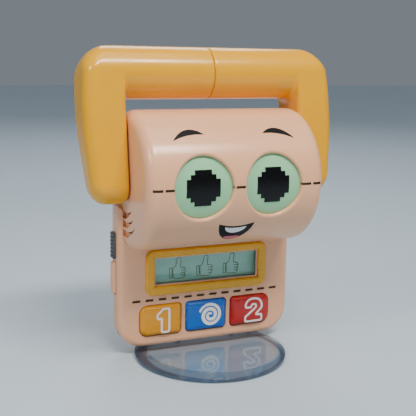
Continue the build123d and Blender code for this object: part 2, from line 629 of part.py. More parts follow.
for side, word in ((-1, "left"), (1, "right")):
    with BuildPart() as half:
        add(arm.part if side > 0 else arm.part.mirror(Plane.YZ))
        rod_x(sorted((0, side * (ARM_IN + 2))), BAR_Y, BAR_Z, BAR_R)
        rod_x(sorted((-side, side * (SLEEVE_HALF + 0.2))), BAR_Y, BAR_Z, SLEEVE_R + SLEEVE_FIT,
              mode=Mode.SUBTRACT)
        rod_x(sorted((side * (ARM_IN - 1), side * (ARM_IN + PIN_IN_ARM))), HEAD_Y, HEAD_Z, PIN_R + 0.01,
              mode=Mode.SUBTRACT)
    save(half.part, f"handle_{word}_half")

with BuildPart() as handle_sleeve:
    rod_x((-SLEEVE_HALF, SLEEVE_HALF), BAR_Y, BAR_Z, SLEEVE_R)
    rod_x((-SLEEVE_HALF - 1, SLEEVE_HALF + 1), BAR_Y, BAR_Z, SLEEVE_BORE, mode=Mode.SUBTRACT)

with BuildPart() as pivot_pins:
    for side in (-1, 1):
        rod_x(sorted((side * PIN_END, side * (ARM_IN + PIN_IN_ARM - 0.1))), HEAD_Y, HEAD_Z, PIN_R)
        rod_x(sorted((side * (PIN_END - 1), side * (ARM_IN + 1))), HEAD_Y, HEAD_Z, SCREW_R + THREAD_FIT,
              mode=Mode.SUBTRACT)

with BuildPart() as pivot_washers:
    for side in (-1, 1):
        rod_x(sorted((side * PIN_END, side * (PIN_END - WASHER_T))), HEAD_Y, HEAD_Z, WASHER_R)
        rod_x(sorted((side * (PIN_END + 1), side * (PIN_END - 2))), HEAD_Y, HEAD_Z, SCREW_R + THREAD_FIT,
              mode=Mode.SUBTRACT)

with BuildPart() as pivot_screws:
    for side in (-1, 1):
        seat = PIN_END - WASHER_T
        rod_x(sorted((side * seat, side * (seat - SCREW_HEAD_T))), HEAD_Y, HEAD_Z, SCREW_HEAD_R)
        rod_x(sorted((side * seat, side * (ARM_IN + 0.8))), HEAD_Y, HEAD_Z, SCREW_R)

with BuildPart() as friction_rings:
    for side in (-1, 1):
        ring = sorted((side * (HEAD_HALF + 0.05), side * (ARM_IN - 0.05)))
        rod_x(ring, HEAD_Y, HEAD_Z, RING_R)
        rod_x((ring[0] - 1, ring[1] + 1), HEAD_Y, HEAD_Z, PIN_R + 0.2, mode=Mode.SUBTRACT)

# ---------------------------------------------------------------- stand
with BuildPart() as stand:
    with Locations((STAND_X, 0, 0)):
        Cylinder(STAND_R, STAND_FLOOR - STAND_BEVEL_H, align=(Align.CENTER, Align.CENTER, Align.MIN))
    fillet(faces().sort_by(Axis.Z)[0].edges(), 0.3)
    with Locations((STAND_X, 0, STAND_FLOOR - STAND_BEVEL_H)):
        Cone(STAND_R, STAND_R - STAND_BEVEL_W, STAND_BEVEL_H, align=(Align.CENTER, Align.CENTER, Align.MIN))
    with Locations((-PEG_X, PEG_Y, STAND_FLOOR), (PEG_X, PEG_Y, STAND_FLOOR)):
        Cylinder(PEG_R, PEG_H, align=(Align.CENTER, Align.CENTER, Align.MIN))

FINISHED = {
    "display_frame": display_frame, "display_window": display_window, "display_glass": display_glass,
    "display_reflector": display_reflector, "display_connectors": display_connectors,
    "main_board": main_board, "controller_chip": controller_chip, "button_switches": button_switches,
    "eye_board": eye_board, "head_ribbon": head_ribbon, "power_slider": power_slider,
    "power_switch": power_switch, "side_key": side_key, "side_key_switch": side_key_switch,
    "battery_tray": battery_tray, "battery_cells": battery_cells, "battery_contacts": battery_contacts,
    "battery_door": battery_door, "door_screw": door_screw, "speaker_frame": speaker_frame,
    "speaker_cone": speaker_cone, "speaker_magnet": speaker_magnet, "case_screws": case_screws,
    "handle_sleeve": handle_sleeve, "pivot_pins": pivot_pins, "pivot_washers": pivot_washers,
    "pivot_screws": pivot_screws, "friction_rings": friction_rings, "stand": stand,
}
for name, made in FINISHED.items():
    save(made.part, name)
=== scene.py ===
"""Looks of a roll-headed toy robot with a swinging carry handle, on a clear round stand.

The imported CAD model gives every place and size. This script adds the moulded surfaces, the printed
marks and the finishes, then the floor, lights and camera. Lengths here are in millimetres, and
make_piece turns them to metres.
"""

import json
import logging
import math
from dataclasses import dataclass, field
from enum import Enum
from typing import Callable, Iterable

import bmesh
import bpy
import numpy as np
from mathutils import Matrix, Vector


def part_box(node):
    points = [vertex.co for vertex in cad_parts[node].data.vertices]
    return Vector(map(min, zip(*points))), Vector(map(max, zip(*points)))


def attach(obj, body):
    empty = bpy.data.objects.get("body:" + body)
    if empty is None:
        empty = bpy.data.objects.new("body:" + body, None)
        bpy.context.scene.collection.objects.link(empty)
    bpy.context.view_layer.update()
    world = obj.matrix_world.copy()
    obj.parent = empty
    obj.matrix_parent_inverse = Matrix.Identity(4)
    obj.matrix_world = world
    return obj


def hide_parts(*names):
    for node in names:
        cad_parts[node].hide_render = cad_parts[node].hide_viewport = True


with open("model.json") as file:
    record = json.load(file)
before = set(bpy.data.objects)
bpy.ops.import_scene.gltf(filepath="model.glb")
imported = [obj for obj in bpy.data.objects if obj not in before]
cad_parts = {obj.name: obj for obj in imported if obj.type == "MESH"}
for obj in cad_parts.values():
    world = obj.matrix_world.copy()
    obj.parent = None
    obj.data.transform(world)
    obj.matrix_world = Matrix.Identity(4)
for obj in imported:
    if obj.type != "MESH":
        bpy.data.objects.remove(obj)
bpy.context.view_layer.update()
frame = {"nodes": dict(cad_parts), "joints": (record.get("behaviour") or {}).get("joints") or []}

MM = 0.001
LOG = logging.getLogger("toy_robot")
Surface = Callable[[np.ndarray, np.ndarray, float], np.ndarray]
Faces = list[list[int]]
Shape = tuple[np.ndarray, Faces]     # points and the faces between them

WELD = 0.002        # points closer than this are one point
SLIVER = 0.001      # shorter edges are taken out
CRISP = 0.02        # radius of an edge that looks sharp


class Side(Enum):
    """The two sides of the robot, for someone looking at its face."""

    LEFT = -1
    RIGHT = 1


# ---------------------------------------------------------------- places from the frame
def box_mm(node: str) -> tuple[np.ndarray, np.ndarray]:
    """Lowest and highest corner of a CAD node, in millimetres."""
    low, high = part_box(node)
    return np.array(low) / MM, np.array(high) / MM


# ---------------------------------------------------------------- mesh helpers
def smoothstep(low: float, high: float, value: np.ndarray) -> np.ndarray:
    """Cubic ramp from 0 at low to 1 at high."""
    share = np.clip((value - low) / (high - low), 0, 1)
    return share * share * (3 - 2 * share)


def ring_faces(rings: int, points: int, closed: bool = False) -> Faces:
    """Quads between rings of points that follow each other.

    Args:
        rings: how many rings there are.
        points: points in each ring, which closes on itself.
        closed: whether the last ring joins the first.

    Returns:
        Four point numbers for each quad.
    """
    row, column = np.meshgrid(np.arange(rings if closed else rings - 1), np.arange(points), indexing="ij")
    row, column = row.ravel(), column.ravel()
    after, beside = (row + 1) % rings, (column + 1) % points
    quads = [row * points + column, row * points + beside, after * points + beside, after * points + column]
    return np.stack(quads, axis=1).tolist()


def capped(rings: int, points: int) -> Faces:
    """Quads between open rings, with one flat face on the first ring and one on the last.

    Args:
        rings: how many rings there are.
        points: points in each ring.

    Returns:
        Point numbers of each quad and of the two end faces.
    """
    first = list(range(points))[::-1]
    last = [(rings - 1) * points + number for number in range(points)]
    return ring_faces(rings, points) + [first, last]


def together(shapes: list[Shape]) -> Shape:
    """Join shapes into one, in order, with the later shapes' point numbers moved up.

    Args:
        shapes: points and faces of each.

    Returns:
        All points, shape (n, 3), and all faces.
    """
    points, faces, count = [], [], 0
    for part, part_faces in shapes:
        points.append(part.reshape(-1, 3))
        faces += [[corner + count for corner in face] for face in part_faces]
        count += len(points[-1])
    return np.concatenate(points), faces


def make_piece(name: str, points: np.ndarray, faces: Faces, material: bpy.types.Material, body: str,
               replaces: Iterable[str] = (), sharp: float = 38.0) -> bpy.types.Object:
    """Turn points and faces into a finished piece that rides on its body.

    Args:
        name: the piece's name.
        points: corners in millimetres, any shape that ends in 3.
        faces: point numbers of each face.
        material: the piece's finish.
        body: the CAD body that it moves with.
        replaces: CAD nodes that it stands for.
        sharp: edges that turn more than this many degrees stay crisp.

    Returns:
        The new object, in metres, at the origin.
    """
    mesh = bpy.data.meshes.new(name)
    mesh.from_pydata((np.reshape(points, (-1, 3)) * MM).tolist(), [], faces)
    work = bmesh.new()
    work.from_mesh(mesh)
    bmesh.ops.remove_doubles(work, verts=work.verts, dist=WELD * MM)
    bmesh.ops.dissolve_degenerate(work, edges=work.edges, dist=SLIVER * MM)
    bmesh.ops.recalc_face_normals(work, faces=work.faces)
    work.to_mesh(mesh)
    work.free()
    mesh.shade_smooth()
    mesh.set_sharp_from_angle(angle=math.radians(sharp))
    piece = bpy.data.objects.new(name, mesh)
    bpy.context.scene.collection.objects.link(piece)
    mesh.materials.append(material)
    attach(piece, body)
    if replaces:
        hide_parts(*replaces)
    LOG.info("%s: %d faces", name, len(mesh.polygons))
    return piece


def rounded_loop(corners: list[tuple[float, float, float]], steps: int = 7) -> np.ndarray:
    """Closed flat line with a round turn at each corner.

    Each turn is an arc of the corner's radius between the two points where it touches the sides,
    found by turning the first spoke of the arc evenly into the last.

    Args:
        corners: (x, z, radius) of each corner, in order.
        steps: points on each arc.

    Returns:
        Points of the line, shape (corners * steps, 2).
    """
    table = np.array(corners, float)
    at, radius = table[:, :2], table[:, 2:]
    back, ahead = np.roll(at, 1, axis=0) - at, np.roll(at, -1, axis=0) - at
    back = back / np.linalg.norm(back, axis=1, keepdims=True)
    ahead = ahead / np.linalg.norm(ahead, axis=1, keepdims=True)
    half = np.arccos(np.clip(np.sum(back * ahead, axis=1, keepdims=True), -0.9999, 0.9999)) / 2
    middle = (back + ahead) / np.linalg.norm(back + ahead, axis=1, keepdims=True)
    centre = at + middle * radius / np.sin(half)
    first, last = at + back * radius / np.tan(half) - centre, at + ahead * radius / np.tan(half) - centre
    turn = (np.pi - 2 * half)[:, None, :]
    share = np.linspace(0, 1, steps)[None, :, None]
    spokes = np.sin((1 - share) * turn) * first[:, None, :] + np.sin(share * turn) * last[:, None, :]
    return (centre[:, None, :] + spokes / np.sin(turn)).reshape(-1, 2)


def refined(line: np.ndarray, step: float, closed: bool) -> np.ndarray:
    """The same line with more points, evenly spaced by its own length.

    Args:
        line: points of the line, shape (n, 2).
        step: rough distance between the new points.
        closed: whether the line joins up.

    Returns:
        Points found by going straight from one old point to the next, shape (m, 2).
    """
    line = np.vstack([line, line[:1]]) if closed else line
    length = np.concatenate([[0.0], np.cumsum(np.linalg.norm(np.diff(line, axis=0), axis=1))])
    at = np.linspace(0, length[-1], int(length[-1] / step) + 2)
    at = at[:-1] if closed else at
    return np.stack([np.interp(at, length, line[:, 0]), np.interp(at, length, line[:, 1])], axis=1)


def stroke(line: np.ndarray, width: np.ndarray | float, surface: Surface, thick: float,
           closed: bool) -> Shape:
    """Flat printed stroke of a given width along a line, laid on a surface.

    The stroke's two edges are the line moved half a width each way along its own normal, which is
    the line's direction turned by a quarter. Its section is a thin rectangle.

    Args:
        line: points of the middle line in the surface's own plane, shape (n, 2).
        width: the width, or one for each point.
        surface: maps plane coordinates and a height to space.
        thick: thickness of the layer.
        closed: whether the line joins up.

    Returns:
        Points, shape (n, 4, 3), and faces.
    """
    if closed:
        along = np.roll(line, -1, axis=0) - np.roll(line, 1, axis=0)
    else:
        along = np.gradient(line, axis=0)
    along = along / np.linalg.norm(along, axis=1, keepdims=True)
    reach = np.broadcast_to(np.asarray(width, float) / 2, (len(line),))[:, None]
    across = np.stack([-along[:, 1], along[:, 0]], axis=1) * reach
    left, right = line + across, line - across
    corners = [surface(left[:, 0], left[:, 1], 0.0), surface(left[:, 0], left[:, 1], thick),
               surface(right[:, 0], right[:, 1], thick), surface(right[:, 0], right[:, 1], 0.0)]
    faces = ring_faces(len(line), 4, closed=True) if closed else capped(len(line), 4)
    return np.stack(corners, axis=1), faces


def patch(across: np.ndarray, low: np.ndarray, high: np.ndarray, surface: Surface, thick: float,
          rows: int = 9) -> Shape:
    """Thin filled shape between two curves, laid on a surface.

    At each station the ring runs up the outside from the low curve to the high one at full height,
    and back down on the surface itself, so the shape is closed.

    Args:
        across: first plane coordinate of each station.
        low: lower curve's second coordinate at each station.
        high: upper curve's second coordinate at each station.
        surface: maps plane coordinates and a height to space.
        thick: thickness of the layer.
        rows: points between the two curves.

    Returns:
        Points, shape (stations, 2 * rows, 3), and faces.
    """
    share = np.linspace(0, 1, rows)[None, :]
    second = low[:, None] * (1 - share) + high[:, None] * share
    first = np.broadcast_to(across[:, None], second.shape)
    top = surface(first, second, thick)
    base = surface(first[:, ::-1], second[:, ::-1], 0.0)
    return np.concatenate([top, base], axis=1), capped(len(across), 2 * rows)


def lathe(profile: np.ndarray, centre: tuple[float, float], turns: int = 160) -> Shape:
    """Surface of revolution about a vertical line.

    Each profile point (radius, height) goes round a circle of that radius at that height.

    Args:
        profile: (radius, height) from one flat face's edge to the other's, shape (n, 2).
        centre: x and y of the axis.
        turns: points round each circle.

    Returns:
        Points, shape (n, turns, 3), and faces with a flat face at each end.
    """
    angle = np.linspace(0, 2 * np.pi, turns, endpoint=False)[None, :]
    radius, height = profile[:, :1], profile[:, 1:]
    x = centre[0] + radius * np.cos(angle)
    y = centre[1] + radius * np.sin(angle)
    return np.stack([x, y, np.broadcast_to(height, x.shape)], axis=-1), capped(len(profile), turns)


# ---------------------------------------------------------------- finishes
def linear(colour: str) -> tuple[float, float, float, float]:
    """Turn an sRGB colour to a linear one.

    Args:
        colour: hex value such as #ffcc00.

    Returns:
        Linear red, green and blue, and an alpha of 1.
    """
    parts = np.array([int(colour[place:place + 2], 16) for place in (1, 3, 5)]) / 255
    curve = np.where(parts <= 0.04045, parts / 12.92, ((parts + 0.055) / 1.055) ** 2.4)
    return (*curve.tolist(), 1.0)


def add_node(tree: bpy.types.NodeTree, kind: str, settings: dict | None = None,
             links: dict | None = None) -> bpy.types.Node:
    """Add one node to a tree.

    Args:
        tree: the tree that gets it.
        kind: Blender's name of the node.
        settings: values by property name, or by the name or number of an input.
        links: output sockets by the name or number of the input that they feed.

    Returns:
        The new node.
    """
    node = tree.nodes.new(kind)
    for name, value in (settings or {}).items():
        if isinstance(name, str) and hasattr(node, name):
            setattr(node, name, value)
        else:
            node.inputs[name].default_value = value
    for name, socket in (links or {}).items():
        tree.links.new(socket, node.inputs[name])
    return node


def start_material(name: str) -> tuple[bpy.types.Material, bpy.types.NodeTree, bpy.types.NodeSocket]:
    """Start an empty material.

    Args:
        name: the material's name.

    Returns:
        The material, its tree, and the socket of the object's own coordinates.
    """
    material = bpy.data.materials.new(name)
    material.use_nodes = True
    material.node_tree.nodes.clear()
    place = add_node(material.node_tree, "ShaderNodeTexCoord").outputs["Object"]
    return material, material.node_tree, place


def uneven(tree: bpy.types.NodeTree, place: bpy.types.NodeSocket, size_mm: float, low: float,
           high: float, detail: float = 3.0) -> bpy.types.NodeSocket:
    """Soft noise for colour or gloss that isn't quite even.

    Args:
        tree: the material's tree.
        place: coordinates that the noise follows.
        size_mm: width of one patch.
        low: value in the lowest patches.
        high: value in the highest patches.
        detail: how many finer layers are added.

    Returns:
        The socket of the value.
    """
    noise = add_node(tree, "ShaderNodeTexNoise", {"Scale": 1 / (size_mm * MM), "Detail": detail},
                     {"Vector": place})
    spread = add_node(tree, "ShaderNodeMapRange",
                      {"From Min": 0.3, "From Max": 0.7, "To Min": low, "To Max": high},
                      {"Value": noise.outputs["Fac"]})
    return spread.outputs["Result"]


def two_tone(tree: bpy.types.NodeTree, share: bpy.types.NodeSocket, first: str,
             second: str) -> bpy.types.NodeSocket:
    """Colour between two.

    Args:
        tree: the material's tree.
        share: 0 for the first colour, 1 for the second.
        first: sRGB hex value.
        second: sRGB hex value.

    Returns:
        The socket of the colour.
    """
    mix = add_node(tree, "ShaderNodeMix", {"data_type": "RGBA", 6: linear(first), 7: linear(second)},
                   {0: share})
    return mix.outputs[2]


def grain(tree: bpy.types.NodeTree, place: bpy.types.NodeSocket, size_mm: float,
          depth_mm: float) -> bpy.types.NodeSocket:
    """Fine moulded or cast grain.

    Args:
        tree: the material's tree.
        place: coordinates that the grain follows.
        size_mm: width of one grain.
        depth_mm: how deep it is.

    Returns:
        The socket of the surface's normal.
    """
    noise = add_node(tree, "ShaderNodeTexNoise", {"Scale": 1 / (size_mm * MM), "Detail": 2.0},
                     {"Vector": place})
    bump = add_node(tree, "ShaderNodeBump", {"Strength": 1.0, "Distance": depth_mm * MM},
                    {"Height": noise.outputs["Fac"]})
    return bump.outputs["Normal"]


def end_material(tree: bpy.types.NodeTree, settings: dict, links: dict) -> None:
    """Add the surface shader and the output."""
    shader = add_node(tree, "ShaderNodeBsdfPrincipled", settings, links)
    add_node(tree, "ShaderNodeOutputMaterial", {}, {"Surface": shader.outputs["BSDF"]})


@dataclass(frozen=True)
class MouldedPlastic:
    """Injection-moulded plastic: an even colour, soft reflections, the tool's faint grain, and
    slightly uneven gloss where hands have been."""

    name: str
    colour: str
    shade: str
    roughness: float
    ior: float = 1.53
    grain_mm: float = 0.55
    grain_depth_mm: float = 0.006
    wear: float = 0.07

    def material(self) -> bpy.types.Material:
        """Build the finish.

        Returns:
            The new material.
        """
        material, tree, place = start_material(self.name)
        colour = two_tone(tree, uneven(tree, place, 18.0, 0.0, 1.0), self.colour, self.shade)
        rough = uneven(tree, place, 9.0, self.roughness - self.wear / 2, self.roughness + self.wear, 5.0)
        normal = grain(tree, place, self.grain_mm, self.grain_depth_mm)
        end_material(tree, {"IOR": self.ior}, {"Base Color": colour, "Roughness": rough, "Normal": normal})
        return material


@dataclass(frozen=True)
class Ink:
    """Pad-printed ink: thin, even and a little duller than the plastic under it, with the small
    breaks in gloss that a silicone pad leaves."""

    name: str
    colour: str
    shade: str
    roughness: float = 0.42
    shine: float = 0.5          # specular level: 0.5 is bare varnish, less is matt ink

    def material(self) -> bpy.types.Material:
        """Build the finish.

        Returns:
            The new material.
        """
        material, tree, place = start_material(self.name)
        colour = two_tone(tree, uneven(tree, place, 2.5, 0.0, 1.0), self.colour, self.shade)
        rough = uneven(tree, place, 0.9, self.roughness - 0.05, self.roughness + 0.08)
        end_material(tree, {"IOR": 1.5, "Specular IOR Level": self.shine},
                     {"Base Color": colour, "Roughness": rough})
        return material


@dataclass(frozen=True)
class PlatedSteel:
    """Nickel-plated steel: bright and even, with fine turning marks round each screw and pin."""

    name: str
    colour: str
    shade: str
    roughness: float

    def material(self) -> bpy.types.Material:
        """Build the finish.

        Returns:
            The new material.
        """
        material, tree, place = start_material(self.name)
        colour = two_tone(tree, uneven(tree, place, 1.5, 0.0, 1.0), self.colour, self.shade)
        rough = uneven(tree, place, 0.6, self.roughness - 0.06, self.roughness + 0.1)
        normal = grain(tree, place, 0.3, 0.004)
        end_material(tree, {"Metallic": 1.0}, {"Base Color": colour, "Roughness": rough, "Normal": normal})
        return material


@dataclass(frozen=True)
class ClearSheet:
    """Thin clear moulding that shows what is behind it undistorted, under a polished skin that
    reflects more the flatter it is looked at."""

    name: str
    tint: str
    roughness: float
    straight: float = 0.04      # share of light that comes back when looked at straight on
    rim_painted_shade: str = "#ffffff"  # painted shade near the rim of a round piece, where its bevel is
    edge_from_mm: float = 0.0
    edge_to_mm: float = 1.0

    def material(self) -> bpy.types.Material:
        """Build the finish.

        Returns:
            The new material.
        """
        material, tree, place = start_material(self.name)
        rough = uneven(tree, place, 12.0, self.roughness, self.roughness + 0.03, 4.0)
        flat = add_node(tree, "ShaderNodeVectorMath", {"operation": "MULTIPLY", 1: (1.0, 1.0, 0.0)},
                        {0: place})
        reach = add_node(tree, "ShaderNodeVectorMath", {"operation": "LENGTH"}, {0: flat.outputs["Vector"]})
        # Painted shade: the see-through colour darkens near the rim.
        edge = add_node(tree, "ShaderNodeMapRange", {"interpolation_type": "SMOOTHSTEP",
                                                     "From Min": self.edge_from_mm * MM,
                                                     "From Max": self.edge_to_mm * MM},
                        {"Value": reach.outputs["Value"]})
        tint = two_tone(tree, edge.outputs["Result"], self.tint, self.rim_painted_shade)
        through = add_node(tree, "ShaderNodeBsdfTransparent", {}, {"Color": tint})
        gloss = add_node(tree, "ShaderNodeBsdfAnisotropic", {"Color": (1.0, 1.0, 1.0, 1.0)},
                         {"Roughness": rough})
        facing = add_node(tree, "ShaderNodeLayerWeight", {"Blend": 0.5})
        steep = add_node(tree, "ShaderNodeMath", {"operation": "POWER", 1: 5.0},
                         {0: facing.outputs["Facing"]})
        share = add_node(tree, "ShaderNodeMath",
                         {"operation": "MULTIPLY_ADD", 1: 1 - self.straight, 2: self.straight},
                         {0: steep.outputs["Value"]})
        mix = add_node(tree, "ShaderNodeMixShader", {},
                       {0: share.outputs["Value"], 1: through.outputs["BSDF"], 2: gloss.outputs["BSDF"]})
        add_node(tree, "ShaderNodeOutputMaterial", {}, {"Surface": mix.outputs["Shader"]})
        return material


@dataclass(frozen=True)
class LiquidCrystal:
    """Reflective liquid-crystal panel: grey-green, with painted shade that darkens it towards the top,
    under a glossy polariser film with a fine ruling."""

    name: str
    # top: the darker tone, painted shade near the upper edge; bottom: the lighter tone near the lower edge
    top: str
    bottom: str
    low_z: float
    high_z: float

    def material(self) -> bpy.types.Material:
        """Build the finish.

        Returns:
            The new material.
        """
        material, tree, place = start_material(self.name)
        parts = add_node(tree, "ShaderNodeSeparateXYZ", {}, {"Vector": place})
        # Painted shade: the colour goes from the lighter bottom tone at low_z to the darker top tone at
        # high_z.
        rise = add_node(tree, "ShaderNodeMapRange",
                        {"From Min": self.low_z * MM, "From Max": self.high_z * MM},
                        {"Value": parts.outputs["Z"]})
        colour = two_tone(tree, rise.outputs["Result"], self.bottom, self.top)
        ruling = add_node(tree, "ShaderNodeTexWave", {"bands_direction": "X", "Scale": 1 / (2.4 * MM)},
                          {"Vector": place})
        bump = add_node(tree, "ShaderNodeBump", {"Strength": 0.2, "Distance": 0.004 * MM},
                        {"Height": ruling.outputs["Fac"]})
        settings = {"Roughness": 0.32, "IOR": 1.5, "Coat Weight": 1.0, "Coat Roughness": 0.06}
        end_material(tree, settings, {"Base Color": colour, "Normal": bump.outputs["Normal"]})
        return material


@dataclass(frozen=True)
class DiffuserFilm:
    """Matt plastic film over a dot display: pale, slightly milky, with the display's square cells
    showing as a very faint grid."""

    name: str
    colour: str
    shade: str
    cell_mm: float

    def material(self) -> bpy.types.Material:
        """Build the finish.

        Returns:
            The new material.
        """
        material, tree, place = start_material(self.name)
        cells = add_node(tree, "ShaderNodeTexVoronoi",
                         {"distance": "CHEBYCHEV", "Randomness": 0.0, "Scale": 1 / (self.cell_mm * MM)},
                         {"Vector": place})
        line = add_node(tree, "ShaderNodeMapRange",
                        {"From Min": 0.42, "From Max": 0.5, "To Min": 0.0, "To Max": 0.25},
                        {"Value": cells.outputs["Distance"]})
        soft = uneven(tree, place, 7.0, 0.0, 0.35)
        share = add_node(tree, "ShaderNodeMath", {"operation": "ADD"}, {0: line.outputs["Result"], 1: soft})
        colour = two_tone(tree, share.outputs["Value"], self.colour, self.shade)
        rough = uneven(tree, place, 3.0, 0.42, 0.55)
        end_material(tree, {"IOR": 1.49}, {"Base Color": colour, "Roughness": rough})
        return material


@dataclass(frozen=True)
class CircuitBoard:
    """Solder mask over copper: a green varnish whose tracks show as slightly lighter ridges."""

    name: str
    mask: str
    track: str

    def material(self) -> bpy.types.Material:
        """Build the finish.

        Returns:
            The new material.
        """
        material, tree, place = start_material(self.name)
        bricks = add_node(tree, "ShaderNodeTexBrick",
                          {"Scale": 1 / (6.0 * MM), "Mortar Size": 0.03, "Color1": linear(self.mask),
                           "Color2": linear(self.mask), "Mortar": linear(self.track)}, {"Vector": place})
        bump = add_node(tree, "ShaderNodeBump", {"Strength": 0.5, "Distance": 0.03 * MM},
                        {"Height": bricks.outputs["Fac"]})
        rough = uneven(tree, place, 4.0, 0.25, 0.4)
        end_material(tree, {"IOR": 1.52}, {"Base Color": bricks.outputs["Color"], "Roughness": rough,
                                           "Normal": bump.outputs["Normal"]})
        return material


# Satin ABS in peach cream: soft wide highlights, nearly no grain.
CREAM_ABS = MouldedPlastic("cream_abs_moulded", "#eeb48c", "#ebb088", 0.2, grain_depth_mm=0.003,
                           wear=0.04)
# Glossier ABS in warm yellow.
YELLOW_ABS = MouldedPlastic("yellow_abs_moulded", "#e9a900", "#e4a300", 0.19, grain_depth_mm=0.003)
# Yellow of the display's frame, with a duller skin than the handle.
FRAME_ABS = MouldedPlastic("frame_yellow_abs_moulded", "#ecac00", "#e3a400", 0.26)
# Button caps: glossy ABS with a soft top.
AMBER_ABS = MouldedPlastic("amber_abs_moulded", "#e09600", "#d68e00", 0.25)
BLUE_ABS = MouldedPlastic("blue_abs_moulded", "#0062c4", "#005cb8", 0.25)
RED_ABS = MouldedPlastic("red_abs_moulded", "#b41a16", "#a91613", 0.25)
# Grey acetal of the slide switch: dull, self-lubricating.
GREY_ACETAL = MouldedPlastic("grey_acetal_moulded", "#55575c", "#4c4e53", 0.5, grain_depth_mm=0.012)
# Inner mouldings that nobody sees: black ABS, coarse grain.
BLACK_ABS = MouldedPlastic("black_abs_moulded", "#161617", "#1c1c1e", 0.5, grain_depth_mm=0.02)
# Nylon, silicone rubber, potting epoxy, polyester film and pressed paper of the hidden pieces.
WHITE_NYLON = MouldedPlastic("white_nylon_moulded", "#e4e2db", "#dcdad2", 0.45)
GREY_RUBBER = MouldedPlastic("grey_silicone_rubber", "#4a4b4d", "#434446", 0.7, grain_depth_mm=0.02)
CHIP_EPOXY = MouldedPlastic("black_epoxy_potted", "#0d0d0e", "#131314", 0.35)
RIBBON_FILM = MouldedPlastic("grey_ribbon_polyester", "#b9bab6", "#a9aaa6", 0.4)
DARK_PAPER = MouldedPlastic("speaker_paper_pressed", "#1a1918", "#22201f", 0.8, grain_mm=0.3,
                            grain_depth_mm=0.03)
# Bright nickel on screws and pins, and the greyer zinc of magnet and cell cans.
NICKEL_STEEL = PlatedSteel("nickel_steel_plated", "#c9c7c1", "#bdbab3", 0.28)
ZINC_STEEL = PlatedSteel("zinc_steel_plated", "#8d8f92", "#84868a", 0.4)
# Cast acrylic of the stand, with painted shade on its polished bevel, and the thin pane of the display.
CLEAR_ACRYLIC = ClearSheet("clear_acrylic_cast", "#e6edf2", 0.03, straight=0.06, rim_painted_shade="#b6c3cf",
                           edge_from_mm=26.9, edge_to_mm=27.6)
CLEAR_PANE = ClearSheet("clear_acrylic_pane", "#f8fbfb", 0.04, rim_painted_shade="#f8fbfb")
# Printed marks, painted shade in the grooves, and the dark cells of the two kinds of display.
BLACK_INK = Ink("black_ink_pad_printed", "#030407", "#04050a", shine=0.2)
WHITE_INK = Ink("white_ink_pad_printed", "#f2f0ee", "#e8e6e4")
PINK_INK = Ink("pink_ink_pad_printed", "#d06a7a", "#c66070")
# Dark brown inside the grooves: painted shade.
GROOVE_SHADE = Ink("brown_groove_painted_shade", "#7d6553", "#866d59", 0.6, 0.2)
SEGMENT_INK = Ink("olive_display_segments", "#4d7430", "#486d2c")
PUPIL_INK = Ink("black_display_cells", "#010102", "#020203", 0.3, 0.3)
MINT_FILM = DiffuserFilm("mint_diffuser_film", "#93d0a2", "#88c698", 1.65)
GREEN_BOARD = CircuitBoard("green_solder_mask", "#0b4a25", "#17663a")

Finish = MouldedPlastic | Ink | PlatedSteel | ClearSheet | LiquidCrystal | DiffuserFilm | CircuitBoard


@dataclass
class Wardrobe:
    """Makes each finish once, and puts finishes on the CAD nodes that keep their own shape."""

    made: dict[str, bpy.types.Material] = field(default_factory=dict)

    def get(self, finish: Finish) -> bpy.types.Material:
        """Look up a finish's material, which is made the first time it is asked for.

        Args:
            finish: the finish.

        Returns:
            Its material.
        """
        if finish.name not in self.made:
            self.made[finish.name] = finish.material()
        return self.made[finish.name]

    def dress(self, finish: Finish, *nodes: str) -> None:
        """Put one finish on CAD nodes.

        Args:
            finish: the finish.
            nodes: names of the nodes.
        """
        for node in nodes:
            mesh = frame["nodes"][node].data
            mesh.materials.clear()
            mesh.materials.append(self.get(finish))
            LOG.info("%s: %s", node, finish.name)


